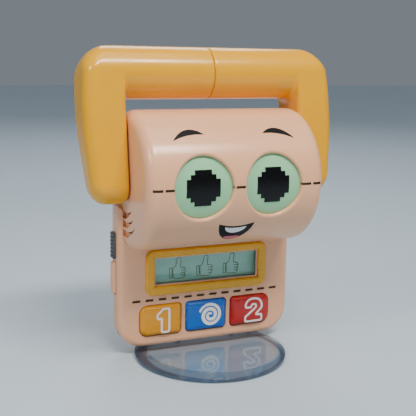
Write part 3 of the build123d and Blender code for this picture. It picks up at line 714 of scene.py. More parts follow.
# ---------------------------------------------------------------- handle
@dataclass
class Handle:
    """Carry handle: two moulded halves, each an arm that leans back from the pivot and half of the
    round grip. Its surface is where a blend of simple distance rules is zero."""

    wardrobe: Wardrobe
    arm_low_w: float = 13.8     # width at the lower end
    arm_spread: float = 4.5     # how far the outer face spreads between there and the shoulder
    arm_tuck: float = 7.65      # how strongly it turns in again
    arm_tuck_from: float = 0.35     # share of the way up where that begins
    pivot_r: float = 7.0
    toe_drop: float = 1.5       # how far the lower end reaches past the pivot's own circle
    rim_r: float = 4.4          # rounding of the outer rim along the arm
    shoulder_r: float = 9.3     # rounding of the outer rim over the top
    toe_r: float = 6.0          # and round the lower end
    inner_r: float = 1.9        # rounding of the inner rim, which fades out at the grip
    web_r: float = 2.6          # soft corner under the grip
    seam_gap: float = 0.1       # half the gap between the two halves
    seam_r: float = 0.6         # rounded edges that make the seam a groove
    grip_in_arm: float = 3.0    # how far the grip runs on inside the arm
    fade_from: float = 13.0     # the inner rim fades out between these distances below the grip
    fade_to: float = 4.0
    around: int = 132           # points round each ring
    turn_rings: int = 34        # rings round the corner, and down the arm
    ray_start: float = 1.0      # lowest start of the rays, up from the pivot
    ray_out: float = 1.0        # how far the lowest starts lie outside the arm's middle
    ray_drift: float = 1.3      # and how much further the highest ones
    ray_bulge: float = 2.6      # how far they swing out round the corner
    ray_reach: float = 34.0     # longer than any ray has to go
    halvings: int = 40

    def __post_init__(self) -> None:
        """Read the pivot, the grip and the inner faces from the frame."""
        hinge = next(joint for joint in frame["joints"] if joint["name"] == "handle_swing")
        self.pivot = np.array(hinge["pos_m"][1:]) / MM
        low, high = box_mm("handle_sleeve")
        self.grip = (low + high)[1:] / 2
        self.grip_r = box_mm("handle_right_half")[1][2] - self.grip[1]
        self.inner_x = box_mm("friction_rings")[1][0] + 0.05
        self.length = float(np.linalg.norm(self.grip - self.pivot))
        self.up = (self.grip - self.pivot) / self.length
        self.front = np.array([-self.up[1], self.up[0]])

    def depth(self, x: np.ndarray, s: np.ndarray, w: np.ndarray) -> np.ndarray:
        """Signed distance, roughly, from the surface of the right half.

        The arm is the space inside three limits: the side outline, which is a hull round the pivot
        circle and the grip circle; the outer face, which spreads evenly on the way up and then
        tucks in as the square of the height; and the inner face. Where two limits meet, the
        distance turns through a quarter circle of the rim's radius. The grip is a cylinder, joined
        to the arm through a hollow quarter circle under it.

        Args:
            x: distance from the middle plane.
            s: distance up the arm from the pivot.
            w: distance to the front of the arm's own middle.

        Returns:
            Negative inside, zero on the surface.
        """
        span = self.length + self.toe_drop
        up = s + self.toe_drop
        slope = (self.pivot_r - self.grip_r) / span
        level = math.sqrt(1 - slope * slope)
        side = np.abs(w)
        along = level * up - slope * side
        low_end, high_end = np.hypot(side, up), np.hypot(side, up - span)
        hull = np.where(along < 0, low_end - self.pivot_r,
                        np.where(along > level * span, high_end - self.grip_r,
                                 level * side + slope * up - self.pivot_r))
        rise = np.where(along < 0, up / np.maximum(low_end, 1e-6),
                        np.where(along > level * span, (up - span) / np.maximum(high_end, 1e-6), slope))
        height = self.pivot[1] + s * self.up[1] + w * self.front[1]
        low_z = self.pivot[1] - self.pivot_r
        high_z = self.grip[1] + self.grip_r - self.shoulder_r
        share = np.clip((height - low_z) / (high_z - low_z), 0, 1.25)
        tuck = self.arm_tuck * np.maximum(share - self.arm_tuck_from, 0) ** 2
        outer = x - self.inner_x - self.arm_low_w - self.arm_spread * share + tuck
        rim = (self.rim_r + (self.shoulder_r - self.rim_r) * np.clip(rise, 0, 1)
               + (self.toe_r - self.rim_r) * np.clip(-rise, 0, 1))
        arm = self.round_and(hull, outer, rim)
        fade = 1 - smoothstep(self.length - self.fade_from, self.length - self.fade_to, s)
        arm = self.round_and(arm, self.inner_x - x, CRISP + self.inner_r * fade)
        grip = np.maximum(high_end - self.grip_r, x - self.inner_x - self.grip_in_arm)
        grip = self.round_and(grip, self.seam_gap - x, self.seam_r)
        below = smoothstep(0.25, 0.9, (self.length - s) / np.maximum(high_end, 1e-6))
        web = CRISP + self.web_r * below
        joined = np.maximum(web, np.minimum(arm, grip))
        return joined - np.hypot(np.maximum(web - arm, 0), np.maximum(web - grip, 0))

    @staticmethod
    def round_and(first: np.ndarray, second: np.ndarray, radius: np.ndarray | float) -> np.ndarray:
        """Distance from the space inside both limits, with their shared edge rounded."""
        inside = np.minimum(np.maximum(first, second), -radius)
        return inside + np.hypot(np.maximum(first + radius, 0), np.maximum(second + radius, 0))

    def rays(self) -> tuple[np.ndarray, np.ndarray]:
        """Starting points and directions of the rays that find the surface.

        The starts follow the grip's middle, turn the corner about a line just under the grip, and
        go down the middle of the arm. Round each start the rays fan out over a full circle in the
        plane across the path, and at the toe the planes close like an umbrella.

        Returns:
            Starts and directions as (x, s, w), each of shape (rings, around, 3).
        """
        theta = np.linspace(0, 2 * np.pi, self.around, endpoint=False)
        corner_x = self.inner_x - self.grip_in_arm
        corner_s = self.length - self.grip_r - self.grip_in_arm
        edge = self.seam_gap + self.seam_r * (1 - np.cos(np.linspace(0.06, np.pi / 2, 8)))
        bar_x = np.concatenate([edge, np.linspace(1.2, corner_x, 30)])
        turn = np.linspace(0, np.pi / 2, self.turn_rings)[1:]
        arm_s = np.linspace(corner_s, self.ray_start, self.turn_rings)[1:]
        fold = np.linspace(0, np.pi / 2, 17)[1:-1]
        low_x = self.inner_x + self.arm_low_w / 2 + self.ray_out
        high_x = low_x + self.ray_drift
        first = self.length - corner_s
        reach = (first + (high_x - corner_x - first) * turn / (np.pi / 2)
                 + self.ray_bulge * np.sin(2 * turn))
        x = np.concatenate([bar_x, corner_x + reach * np.sin(turn),
                            np.linspace(high_x, low_x, len(arm_s)), np.full(len(fold), low_x)])
        s = np.concatenate([np.full(len(bar_x), self.length), corner_s + reach * np.cos(turn), arm_s,
                            np.full(len(fold), arm_s[-1])])
        tilt = np.concatenate([np.zeros(len(bar_x)), turn, np.full(len(arm_s) + len(fold), np.pi / 2)])
        drop = np.concatenate([np.zeros(len(x) - len(fold)), fold])[:, None]
        starts = np.stack([x, s, np.zeros(len(x))], axis=1)[:, None, :] + np.zeros((1, self.around, 1))
        out_x, out_s = np.sin(tilt)[:, None], np.cos(tilt)[:, None]
        spread = np.cos(drop)
        directions = np.stack([np.cos(theta) * out_x * spread,
                               np.cos(theta) * out_s * spread - np.sin(drop),
                               np.sin(theta) * spread + 0 * out_x], axis=-1)
        return starts, directions

    def half(self, side: Side) -> np.ndarray:
        """Surface of one half, found by halving the step along each ray again and again.

        Args:
            side: which half.

        Returns:
            Rings of points, shape (rings, around, 3).
        """
        starts, directions = self.rays()
        near, far = np.zeros(starts.shape[:2]), np.full(starts.shape[:2], self.ray_reach)
        for _ in range(self.halvings):
            middle = (near + far) / 2
            point = starts + directions * middle[..., None]
            inside = self.depth(point[..., 0], point[..., 1], point[..., 2]) < 0
            near, far = np.where(inside, middle, near), np.where(inside, far, middle)
        found = starts + directions * near[..., None]
        place = self.pivot + found[..., 1:2] * self.up + found[..., 2:] * self.front
        return np.concatenate([found[..., :1] * side.value, place], axis=-1)

    def build(self) -> None:
        """Make both halves and finish the hidden pieces of the pivot."""
        material = self.wardrobe.get(YELLOW_ABS)
        for side in Side:
            rings = self.half(side)
            node = f"handle_{side.name.lower()}_half"
            make_piece(f"handle_{side.name.lower()}_moulding", rings, capped(*rings.shape[:2]), material,
                       "handle", [node], sharp=50.0)
        self.wardrobe.dress(WHITE_NYLON, "handle_sleeve")
        self.wardrobe.dress(NICKEL_STEEL, "pivot_pins", "pivot_washers", "pivot_screws")
        self.wardrobe.dress(GREY_RUBBER, "friction_rings")


# ---------------------------------------------------------------- printed face
@dataclass
class PrintedFace:
    """Plain friendly face: two arched brows and an open smile, printed on the drum, and the square
    cells of the two pupils."""

    wardrobe: Wardrobe
    ink: float = 0.05           # thickness of one layer of ink
    brow_x: float = 18.2
    brow_half: float = 6.3
    brow_angle: float = 43.5    # degrees above the drum's middle
    brow_rise: float = 2.5      # height of the arch
    brow_fall: float = 1.3      # how much lower the outer end is than the middle
    brow_drop: float = 0.6
    brow_thick: float = 3.1
    smile_x: float = 0.6
    smile_half: float = 7.2
    smile_angle: float = -32.0
    smile_deep: float = 10.2
    smile_sag: float = 1.5      # how far the upper edge hangs down
    teeth_share: float = 0.6    # width of the teeth as a share of the smile
    teeth_drop: float = 0.9     # below the upper edge
    teeth_deep: float = 2.9
    tongue_share: float = 0.44
    tongue_rise: float = 0.55   # above the lower edge
    tongue_deep: float = 1.9
    tip: float = 0.02           # height left where two edges meet in a point

    def __post_init__(self) -> None:
        """Read the drum from the frame."""
        low, high = box_mm("head_shell")
        self.radius = (high[2] - low[2]) / 2
        self.axis_y = low[1] + self.radius
        self.axis_z = (high[2] + low[2]) / 2

    def wrap(self, x: np.ndarray, rise: np.ndarray, lift: float) -> np.ndarray:
        """Bend a flat drawing round the drum: the height becomes an arc of the same length.

        Args:
            x: distance along the drum.
            rise: arc length above its middle.
            lift: height off its skin.

        Returns:
            Points in space, with (x, y, z) last.
        """
        angle = rise / self.radius
        reach = self.radius + lift
        y = self.axis_y - reach * np.cos(angle)
        z = self.axis_z + reach * np.sin(angle)
        return np.stack([x, y, z], axis=-1)

    def raised(self, base: float) -> Surface:
        """The drum's mapping, with every height counted from base instead of from the skin."""
        return lambda x, rise, lift: self.wrap(x, rise, base + lift)

    def arc_length(self, degrees: float) -> float:
        """Length round the drum of an angle."""
        return math.radians(degrees) * self.radius

    def brow(self, side: Side) -> Shape:
        """One brow: a parabola that drops towards the outside, thick in its middle and pointed at
        both ends by a cosine.

        Args:
            side: which brow.

        Returns:
            Points and faces.
        """
        share = np.linspace(-1, 1, 41)
        arch = self.brow_rise * (1 - share ** 2) - self.brow_fall * share - self.brow_drop
        middle = self.arc_length(self.brow_angle) + arch
        half = self.brow_thick / 2 * np.cos(share * np.pi / 2) ** 0.8 + 0.01
        across = side.value * (self.brow_x + self.brow_half * share)
        return patch(across, middle - half, middle + half * 0.75, self.wrap, self.ink, rows=5)

    def upper_lip(self, share: np.ndarray) -> np.ndarray:
        """Height of the smile's upper edge: a shallow parabola, by share of the half width."""
        return self.arc_length(self.smile_angle) - self.smile_sag * (1 - share ** 2)

    def lower_lip(self, share: np.ndarray) -> np.ndarray:
        """Height of the smile's lower edge: half an ellipse, a little more pointed."""
        return self.arc_length(self.smile_angle) - self.smile_deep * np.sqrt(1 - share ** 2) ** 1.25

    def smile(self) -> None:
        """Open smile between its two lips, with teeth and tongue printed on top of it: the teeth hang
        from the upper edge and the tongue rises from the lower one, each as half an ellipse."""
        share = np.sin(np.linspace(-1, 1, 61) * np.pi / 2)
        bulge = np.sqrt(1 - share ** 2)
        teeth_top = self.upper_lip(self.teeth_share * share) - self.teeth_drop
        tongue_base = self.lower_lip(self.tongue_share * share) + self.tongue_rise
        shapes = [
            ("smile_print", 1.0, self.lower_lip(share) - self.tip, self.upper_lip(share) + self.tip,
             self.wrap, BLACK_INK, "black_print"),
            ("teeth_print", self.teeth_share, teeth_top - self.teeth_deep * bulge - self.tip,
             teeth_top + self.tip, self.raised(self.ink), WHITE_INK, "inner_white"),
            ("tongue_print", self.tongue_share, tongue_base,
             tongue_base + self.tip + self.tongue_deep * bulge, self.raised(self.ink), PINK_INK,
             "button_red"),
        ]
        for name, wide, low, high, surface, ink, slot in shapes:
            across = self.smile_x + wide * self.smile_half * share
            points, faces = patch(across, low, high, surface, self.ink)
            make_piece(name, points, faces, self.wardrobe.get(ink), "case")

    def build(self) -> None:
        """Print the face and finish the round displays."""
        for side in Side:
            points, faces = self.brow(side)
            make_piece(f"brow_{side.name.lower()}_print", points, faces, self.wardrobe.get(BLACK_INK),
                       "case")
        self.smile()
        self.wardrobe.dress(MINT_FILM, "eye_display_left", "eye_display_right")
        self.wardrobe.dress(PUPIL_INK, "eye_pupil_left", "eye_pupil_right")


# ---------------------------------------------------------------- push buttons
class Mark(Enum):
    """What is printed on a button."""

    ONE = "one"
    SPIRAL = "spiral"
    TWO = "two"


@dataclass
class PushButton:
    """Soft-topped cap with a printed mark. The cap is a loft of its own outline, drawn in step by
    step while the height follows a rounded edge and then a shallow crown."""

    wardrobe: Wardrobe
    colour: str
    finish: MouldedPlastic
    mark: Mark
    outer: Side | None
    flange: float = 0.8         # hidden rim that keeps the cap in the case
    outer_r: float = 3.4
    inner_r: float = 1.4
    edge_r: float = 1.9
    crown: float = 0.5          # how much the top drops from its middle to its edges
    ink: float = 0.05
    mark_shift: float = 1.4     # the marks sit a little right of the middle
    mark_scale: float = 1.15
    line_w: float = 0.85
    line_step: float = 0.25     # distance between points, close enough to follow the crown

    def __post_init__(self) -> None:
        """Read the cap's place from the frame."""
        low, high = box_mm(f"button_{self.colour}")
        self.centre = ((low[0] + high[0]) / 2, (low[2] + high[2]) / 2)
        self.half_x = (high[0] - low[0]) / 2 - self.flange
        self.half_z = (high[2] - low[2]) / 2 - self.flange
        self.top_y, self.back_y = low[1], high[1]

    def outline(self, inset: float) -> np.ndarray:
        """Cap's outline, with wider corners on the side that faces outwards.

        Args:
            inset: how far it is drawn in all round.

        Returns:
            Its (x, z) points, shape (n, 2).
        """
        left = self.outer_r if self.outer is Side.LEFT else self.inner_r
        right = self.outer_r if self.outer is Side.RIGHT else self.inner_r
        half_x, half_z = self.half_x - inset, self.half_z - inset
        radius = {-1: max(left - inset, 0.25), 1: max(right - inset, 0.25)}
        corners = [(across * half_x, up * half_z, radius[across])
                   for across, up in ((1, -1), (1, 1), (-1, 1), (-1, -1))]
        return rounded_loop(corners, 9) + np.array(self.centre)

    def top(self, x: np.ndarray, z: np.ndarray, lift: float) -> np.ndarray:
        """Point on the crowned top, which drops as the square of the distance from its middle."""
        share = ((x - self.centre[0]) / self.half_x) ** 2 + ((z - self.centre[1]) / self.half_z) ** 2
        return np.stack([x, self.top_y + self.crown * share / 2 - lift, z], axis=-1)

    def cap(self) -> Shape:
        """Rings from the hidden back, up the side, over the edge and in to the middle of the top.

        Returns:
            Points and faces.
        """
        angle = np.linspace(0, np.pi / 2, 9)
        insets = self.edge_r * (1 - np.cos(angle))
        drops = self.edge_r * (1 - np.sin(angle))
        rings = [np.insert(self.outline(0), 1, self.back_y, axis=1)]
        for inset, drop in zip(insets, drops):
            loop = self.outline(inset)
            rings.append(self.top(loop[:, 0], loop[:, 1], -drop))
        last = self.outline(insets[-1])
        for share in (0.85, 0.6, 0.3, 0.05):
            loop = np.array(self.centre) + (last - self.centre) * share
            rings.append(self.top(loop[:, 0], loop[:, 1], 0.0))
        points = np.stack(rings)
        return points, capped(*points.shape[:2])

    def digit_one(self) -> np.ndarray:
        """Outline of a plain upright 1 with a short flag."""
        return rounded_loop([(1.6, -4.2, 0.5), (1.6, 4.2, 0.5), (-0.7, 4.2, 0.8), (-2.8, 2.2, 0.5),
                             (-2.8, 0.5, 0.5), (-1.2, 1.0, 0.3), (-1.2, -4.2, 0.5)])

    def digit_two(self) -> np.ndarray:
        """Outline of a plain round-topped 2.

        Returns:
            Points about its middle, shape (n, 2).
        """
        return rounded_loop([(3.3, -4.2, 0.5), (3.3, -1.9, 0.5), (0.6, -1.9, 0.3), (3.3, 0.7, 1.2),
                             (3.3, 4.3, 2.7), (-3.2, 4.3, 2.7), (-3.3, 1.1, 0.4), (-1.1, 1.1, 0.4),
                             (-0.7, 2.2, 0.5), (1.0, 2.2, 0.6), (0.9, 0.9, 0.6), (-3.3, -2.4, 0.5),
                             (-3.3, -4.2, 0.5)])

    def spiral(self) -> tuple[np.ndarray, np.ndarray]:
        """Even spiral: the radius grows in step with the angle, and the stroke swells and thins as
        a sine along it.

        Returns:
            Points of the line, and the stroke's width at each.
        """
        share = np.linspace(0, 1, 150)
        angle = 0.6 + share * 2.35 * 2 * np.pi
        radius = 0.5 + 4.5 * share
        line = np.stack([radius * np.cos(angle), radius * np.sin(angle)], axis=1)
        return line, 0.65 + 0.75 * np.sin(share * np.pi) ** 0.7 + 0.2 * share

    def mark_line(self) -> tuple[np.ndarray, np.ndarray | float, bool]:
        """The mark's middle line in its place on the cap.

        Returns:
            Points of the line, the stroke's width, and whether the line joins up.
        """
        place = np.array(self.centre) + np.array([self.mark_shift, 0.0])
        if self.mark is Mark.SPIRAL:
            line, width = self.spiral()
            return line + place, width, False
        digit = self.digit_one() if self.mark is Mark.ONE else self.digit_two()
        return refined(digit * self.mark_scale + place, self.line_step, True), self.line_w, True

    def build(self) -> None:
        """Make the cap and its mark."""
        node = f"button_{self.colour}"
        points, faces = self.cap()
        make_piece(f"cap_{self.colour}", points, faces, self.wardrobe.get(self.finish), node, [node])
        line, width, closed = self.mark_line()
        points, faces = stroke(line, width, self.top, self.ink, closed)
        make_piece(f"mark_{self.mark.value}", points, faces, self.wardrobe.get(WHITE_INK), node)


# ---------------------------------------------------------------- display
@dataclass
class Display:
    """Liquid-crystal display: a clear pane, the panel behind it and three thumbs-up signs."""

    wardrobe: Wardrobe
    pane_t: float = 0.5
    line_w: float = 0.4
    sign_scale: tuple[float, float] = (1.3, 1.18)
    sign_step: float = 11.8
    sign_x: float = -0.2
    ink: float = 0.03
    corner_r: float = 0.8
    pane_edge: float = 0.08     # small bevel round each plate
    panel_edge: float = 0.1
    painted_shade_from: float = 1.4     # the panel's painted shade starts this far above its lower edge
    painted_shade_to: float = 1.8    # and ends this far below its upper one

    def __post_init__(self) -> None:
        """Read the window and the panel from the frame."""
        self.pane_low, self.pane_high = box_mm("display_window")
        self.panel_low, self.panel_high = box_mm("display_glass")
        self.sign_z = (self.pane_low[2] + self.pane_high[2]) / 2

    def slab(self, low: np.ndarray, high: np.ndarray, edge: float) -> Shape:
        """Flat plate whose outline is drawn in at the front and the back.

        Args:
            low: its lowest corner.
            high: its highest corner.
            edge: width and depth of the bevel.

        Returns:
            Points and faces.
        """
        rings = []
        for y, inset in ((low[1], edge), (low[1] + edge, 0.0), (high[1] - edge, 0.0), (high[1], edge)):
            left, right = low[0] + inset, high[0] - inset
            bottom, top = low[2] + inset, high[2] - inset
            corners = [(x, z, self.corner_r) for x, z in ((right, bottom), (right, top), (left, top),
                                                          (left, bottom))]
            rings.append(np.insert(rounded_loop(corners, 5), 1, y, axis=1))
        points = np.stack(rings)
        return points, capped(*points.shape[:2])

    def on_panel(self, x: np.ndarray, z: np.ndarray, lift: float) -> np.ndarray:
        """Point in front of the panel's face by lift."""
        return np.stack([x, self.panel_low[1] - lift + 0 * x, z], axis=-1)

    def sign(self, centre_x: float) -> list[tuple[np.ndarray, bool]]:
        """Lines of one thumbs-up sign: hand, cuff and three finger lines.

        Args:
            centre_x: where its middle is.

        Returns:
            Points of each line, and whether it joins up.
        """
        hand = rounded_loop([(-1.2, -3.3, 0.7), (1.9, -3.3, 0.9), (2.5, 0.5, 0.8), (0.6, 0.5, 0.3),
                             (0.9, 3.9, 0.6), (-0.4, 4.0, 0.6), (-0.9, 1.2, 0.9), (-1.9, 0.2, 0.3),
                             (-1.7, -2.8, 0.3)], 5)
        cuff = rounded_loop([(-2.9, -3.0, 0.2), (-2.1, -3.0, 0.2), (-2.1, 0.5, 0.2), (-2.9, 0.5, 0.2)], 4)
        lines = [(hand, True), (cuff, True)]
        for finger in range(3):
            x = np.linspace(0.9, 2.2, 6)
            lines.append((np.stack([x, np.full(6, -2.3 + 0.95 * finger)], axis=1), False))
        shift = np.array([centre_x, self.sign_z])
        return [(line * np.array(self.sign_scale) + shift, closed) for line, closed in lines]

    def signs(self) -> None:
        """Draw the three signs side by side, each as one piece."""
        for number, word in ((-1, "left"), (0, "middle"), (1, "right")):
            parts = [stroke(line, self.line_w, self.on_panel, self.ink, closed)
                     for line, closed in self.sign(self.sign_x + number * self.sign_step)]
            points, faces = together(parts)
            make_piece(f"sign_{word}", points, faces, self.wardrobe.get(SEGMENT_INK), "case")

    def build(self) -> None:
        """Make the pane, the panel and the signs, and finish what lies behind."""
        high = self.pane_high.copy()
        high[1] = self.pane_low[1] + self.pane_t
        points, faces = self.slab(self.pane_low, high, self.pane_edge)
        make_piece("window_pane", points, faces, self.wardrobe.get(CLEAR_PANE), "case",
                   ["display_window"])
        # The panel's darker top tone is painted shade.
        panel = LiquidCrystal("grey_green_liquid_crystal_painted_shade", "#7fc0aa", "#90cdb8",
                              self.panel_low[2] + self.painted_shade_from, self.panel_high[2] - self.painted_shade_to)
        points, faces = self.slab(self.panel_low, self.panel_high, self.panel_edge)
        make_piece("display_panel", points, faces, self.wardrobe.get(panel), "case",
                   ["display_glass"])
        self.signs()
        self.wardrobe.dress(FRAME_ABS, "display_frame")
        self.wardrobe.dress(WHITE_NYLON, "display_reflector")
        self.wardrobe.dress(GREY_RUBBER, "display_connectors")


# ---------------------------------------------------------------- stand
@dataclass
class Stand:
    """Clear round stand: a turned disc with a bevelled rim and two pegs."""

    wardrobe: Wardrobe
    thick: float = 2.8
    bevel_w: float = 3.0
    bevel_h: float = 1.3
    soft: float = 0.35          # polished rounding of the rim's edges
    hub_share: float = 0.4      # flat faces inside this share of the radius
    peg_r: float = 1.35
    peg_bevel: float = 0.3
    peg_x: float = 12.0
    peg_y: float = 9.8

    def __post_init__(self) -> None:
        """Read the stand from the frame."""
        low, high = box_mm("stand")
        self.centre = ((low[0] + high[0]) / 2, (low[1] + high[1]) / 2)
        self.radius = (high[0] - low[0]) / 2
        self.top = high[2]

    def disc(self) -> Shape:
        """The disc: straight stretches of wall, bevel and top with an arc at each turn, spun round.

        Returns:
            Points and faces.
        """
        steps = 8
        corners = [(0.0, 0.0, 0.01), (self.radius, 0.0, self.soft),
                   (self.radius, self.thick - self.bevel_h, self.soft),
                   (self.radius - self.bevel_w, self.thick, self.soft), (0.0, self.thick, 0.01)]
        turns = rounded_loop(corners, steps)[steps:4 * steps]
        hub = self.radius * self.hub_share
        return lathe(np.concatenate([[[hub, 0.0]], turns, [[hub, self.thick]]]), self.centre, 192)

    def peg(self, side: Side) -> Shape:
        """One locating peg, a rod with a bevelled top.

        Args:
            side: which peg.

        Returns:
            Points and faces.
        """
        profile = [[self.peg_r, self.thick + 0.01], [self.peg_r, self.top - self.peg_bevel],
                   [self.peg_r - self.peg_bevel, self.top]]
        return lathe(np.array(profile), (side.value * self.peg_x, self.peg_y), 32)

    def build(self) -> None:
        """Make the disc and its pegs as one clear piece."""
        points, faces = together([self.disc()] + [self.peg(side) for side in Side])
        make_piece("stand_disc", points, faces, self.wardrobe.get(CLEAR_ACRYLIC), "stand",
                   ["stand"], sharp=60.0)


# ---------------------------------------------------------------- case and what is in it
@dataclass
class Case:
    """Cream shells and door, the left edge's controls, and everything inside."""

    wardrobe: Wardrobe
    dash_h: float = 1.0         # height of the stitched-look grooves
    dash_slack: float = 0.02
    dash_skin: float = 0.25     # painted shade starts this far under the surface
    body_dash_z: float = 22.3
    body_dash_deep: float = 1.3
    head_dash_z: float = 71.7
    head_dash_deep: float = 1.7
    head_dash_y: float = 6.0    # the head's grooves lie this close to its foremost point
    between_eyes: float = 3.0   # about half the space between the eye displays
    beside_eyes: float = 25.0   # their outer edges are nearer the middle than this
    head_dash_end: float = 34.0

    def paint_groove_shade(self) -> None:
        """Painted shade inside the short grooves of both front shells: every face whose middle lies in the
        grooves' band and under the surface takes the dark brown colour."""
        low, _ = box_mm("body_front_shell")
        mesh, middle = self.face_middles("body_front_shell")
        under = (middle[:, 1] > low[1] + self.dash_skin) & (middle[:, 1] < low[1] + self.body_dash_deep)
        self.paint(mesh, under & self.in_band(middle, self.body_dash_z))
        low, high = box_mm("head_shell")
        radius, axis_z = (high[2] - low[2]) / 2, (high[2] + low[2]) / 2
        mesh, middle = self.face_middles("head_shell")
        reach = np.hypot(middle[:, 1] - low[1] - radius, middle[:, 2] - axis_z)
        under = (reach > radius - self.head_dash_deep) & (reach < radius - self.dash_skin)
        front = middle[:, 1] < low[1] + self.head_dash_y
        across = np.abs(middle[:, 0])
        clear = (across < self.between_eyes) | ((across > self.beside_eyes) & (across < self.head_dash_end))
        self.paint(mesh, under & front & clear & self.in_band(middle, self.head_dash_z))

    def in_band(self, middle: np.ndarray, height: float) -> np.ndarray:
        """Whether each face's middle lies within the grooves' height."""
        return np.abs(middle[:, 2] - height) < self.dash_h / 2 + self.dash_slack

    @staticmethod
    def face_middles(node: str) -> tuple[bpy.types.Mesh, np.ndarray]:
        """Find where the faces of a CAD node are.

        Args:
            node: the node's name.

        Returns:
            Its mesh, and the middle of each face in millimetres, shape (n, 3).
        """
        holder = frame["nodes"][node]
        middle = np.zeros(len(holder.data.polygons) * 3)
        holder.data.polygons.foreach_get("center", middle)
        turn = np.array(holder.matrix_world)
        return holder.data, (middle.reshape(-1, 3) @ turn[:3, :3].T + turn[:3, 3]) / MM

    def paint(self, mesh: bpy.types.Mesh, chosen: np.ndarray) -> None:
        """Give some faces of a mesh the painted groove shade.

        Args:
            mesh: the mesh, which already has its plastic.
            chosen: whether each face is painted.
        """
        mesh.materials.append(self.wardrobe.get(GROOVE_SHADE))
        mesh.polygons.foreach_set("material_index", chosen.astype(np.int32))
        LOG.info("groove paint: %d faces", int(chosen.sum()))

    def build(self) -> None:
        """Finish the CAD nodes of the case."""
        self.wardrobe.dress(CREAM_ABS, "head_shell", "body_front_shell", "rear_shell", "battery_door",
                            "side_key")
        self.paint_groove_shade()
        self.wardrobe.dress(GREY_ACETAL, "power_slider")
        self.wardrobe.dress(BLACK_ABS, "power_switch", "side_key_switch", "battery_tray", "speaker_frame")
        self.wardrobe.dress(GREY_RUBBER, "button_switches")
        self.wardrobe.dress(GREEN_BOARD, "main_board", "eye_board")
        self.wardrobe.dress(CHIP_EPOXY, "controller_chip")
        self.wardrobe.dress(RIBBON_FILM, "head_ribbon")
        self.wardrobe.dress(DARK_PAPER, "speaker_cone")
        self.wardrobe.dress(ZINC_STEEL, "speaker_magnet", "battery_cells")
        self.wardrobe.dress(NICKEL_STEEL, "battery_contacts", "case_screws", "door_screw")


# ---------------------------------------------------------------- studio
@dataclass(frozen=True)
class SoftBox:
    """Rectangular studio light aimed at the robot's middle, a distance away in millimetres."""

    name: str
    azimuth: float              # degrees round the robot from its front, positive to its right
    height: float               # degrees above the floor
    distance: float
    width: float
    tall: float
    power: float                # watts
    colour: str = "#ffffff"
    aim_z: float = 65.0         # height of the robot's middle

    def build(self) -> None:
        """Hang the light, turned towards the robot."""
        data = bpy.data.lights.new(self.name, "AREA")
        data.shape = "RECTANGLE"
        data.size, data.size_y = self.width * MM, self.tall * MM
        data.energy = self.power
        data.color = linear(self.colour)[:3]
        around, rise = math.radians(self.azimuth), math.radians(self.height)
        away = Vector((math.sin(around) * math.cos(rise), -math.cos(around) * math.cos(rise),
                       math.sin(rise)))
        light = bpy.data.objects.new(self.name, data)
        light.location = Vector((0, 0, self.aim_z * MM)) + away * self.distance * MM
        light.rotation_mode = "QUATERNION"
        light.rotation_quaternion = away.to_track_quat("Z", "Y")
        bpy.context.scene.collection.objects.link(light)


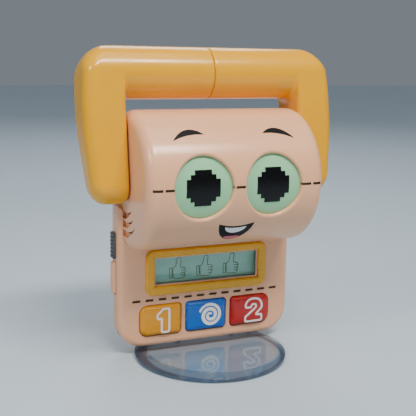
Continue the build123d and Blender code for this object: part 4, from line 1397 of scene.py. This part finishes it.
@dataclass
class Studio:
    """Pale floor, soft light and the camera."""

    camera_at: tuple[float, float, float] = (-123.6, -279.25, 119.1)
    azimuth: float = -23.28
    pitch: float = 10.99
    roll: float = 1.03
    lens: float = 68.5
    sensor: float = 36.0
    floor_half: float = 2600.0
    floor_drop: float = 0.2     # the floor lies this far under the stand
    sky_power: float = 0.4
    sky_spread: float = 60.0    # degrees over which the sky light comes in
    sky_tilt: tuple[float, float] = (28.0, 6.0)
    world_colour: str = "#cfdbe6"
    world_power: float = 0.3
    boxes: tuple[SoftBox, ...] = (
        SoftBox("key_box", 8.0, 56.0, 720.0, 420.0, 110.0, 5.6, "#fff6ea"),
        SoftBox("fill_box", -66.0, 34.0, 760.0, 150.0, 200.0, 1.8, "#fff6ea"),
        SoftBox("top_box", 0.0, 82.0, 700.0, 500.0, 400.0, 1.2),
        SoftBox("back_box", 160.0, 40.0, 900.0, 400.0, 300.0, 2.0),
    )

    def camera(self) -> None:
        """Camera at its station, aimed by azimuth and pitch and rolled a little."""
        azimuth, pitch, roll = (math.radians(angle) for angle in (self.azimuth, self.pitch, self.roll))
        ahead = Vector((-math.sin(azimuth) * math.cos(pitch), math.cos(azimuth) * math.cos(pitch),
                        -math.sin(pitch)))
        level = Vector((math.cos(azimuth), math.sin(azimuth), 0.0))
        upright = level.cross(ahead)
        right = level * math.cos(roll) + upright * math.sin(roll)
        up = upright * math.cos(roll) - level * math.sin(roll)
        data = bpy.data.cameras.new("camera")
        data.lens = self.lens
        data.sensor_width = self.sensor
        data.clip_start, data.clip_end = 0.01, 20.0
        camera = bpy.data.objects.new("camera", data)
        turn = Matrix((right, up, -ahead)).transposed().to_4x4()
        camera.matrix_world = Matrix.Translation(Vector(self.camera_at) * MM) @ turn
        bpy.context.scene.collection.objects.link(camera)
        bpy.context.scene.camera = camera

    def sky_light(self) -> None:
        """Wide soft light from high in front that falls evenly on the whole floor."""
        data = bpy.data.lights.new("sky_light", "SUN")
        data.energy = self.sky_power
        data.angle = math.radians(self.sky_spread)
        light = bpy.data.objects.new("sky_light", data)
        light.rotation_euler = (math.radians(self.sky_tilt[0]), 0.0, math.radians(self.sky_tilt[1]))
        bpy.context.scene.collection.objects.link(light)

    def floor(self) -> None:
        """Large flat floor, just under the stand."""
        half, low = self.floor_half * MM, -self.floor_drop * MM
        mesh = bpy.data.meshes.new("floor")
        corners = [(-half, -half, low), (half, -half, low), (half, half, low), (-half, half, low)]
        mesh.from_pydata(corners, [], [(0, 1, 2, 3)])
        material, tree, place = start_material("pale_floor_paper")
        colour = two_tone(tree, uneven(tree, place, 220.0, 0.0, 1.0), "#b9c9d6", "#b5c5d2")
        rough = uneven(tree, place, 60.0, 0.5, 0.6)
        end_material(tree, {}, {"Base Color": colour, "Roughness": rough})
        mesh.materials.append(material)
        floor = bpy.data.objects.new("floor", mesh)
        bpy.context.scene.collection.objects.link(floor)

    def world(self) -> None:
        """Even pale surroundings."""
        world = bpy.data.worlds.new("surroundings")
        world.use_nodes = True
        world.node_tree.nodes.clear()
        glow = add_node(world.node_tree, "ShaderNodeBackground",
                        {"Color": linear(self.world_colour), "Strength": self.world_power})
        add_node(world.node_tree, "ShaderNodeOutputWorld", {}, {"Surface": glow.outputs["Background"]})
        bpy.context.scene.world = world

    def build(self) -> None:
        """Set up the whole studio."""
        self.camera()
        self.floor()
        self.world()
        for box in self.boxes:
            box.build()
        self.sky_light()


# ---------------------------------------------------------------- all of it
def main() -> None:
    """Build every sub-assembly, then the studio."""
    logging.basicConfig(level=logging.INFO, format="%(message)s")
    wardrobe = Wardrobe()
    assemblies = [
        Case(wardrobe),
        PrintedFace(wardrobe),
        Handle(wardrobe),
        Display(wardrobe),
        PushButton(wardrobe, "amber", AMBER_ABS, Mark.ONE, Side.LEFT),
        PushButton(wardrobe, "blue", BLUE_ABS, Mark.SPIRAL, None),
        PushButton(wardrobe, "red", RED_ABS, Mark.TWO, Side.RIGHT),
        Stand(wardrobe),
        Studio(),
    ]
    for assembly in assemblies:
        LOG.info("building %s", type(assembly).__name__)
        assembly.build()


if __name__ == "__main__":
    main()
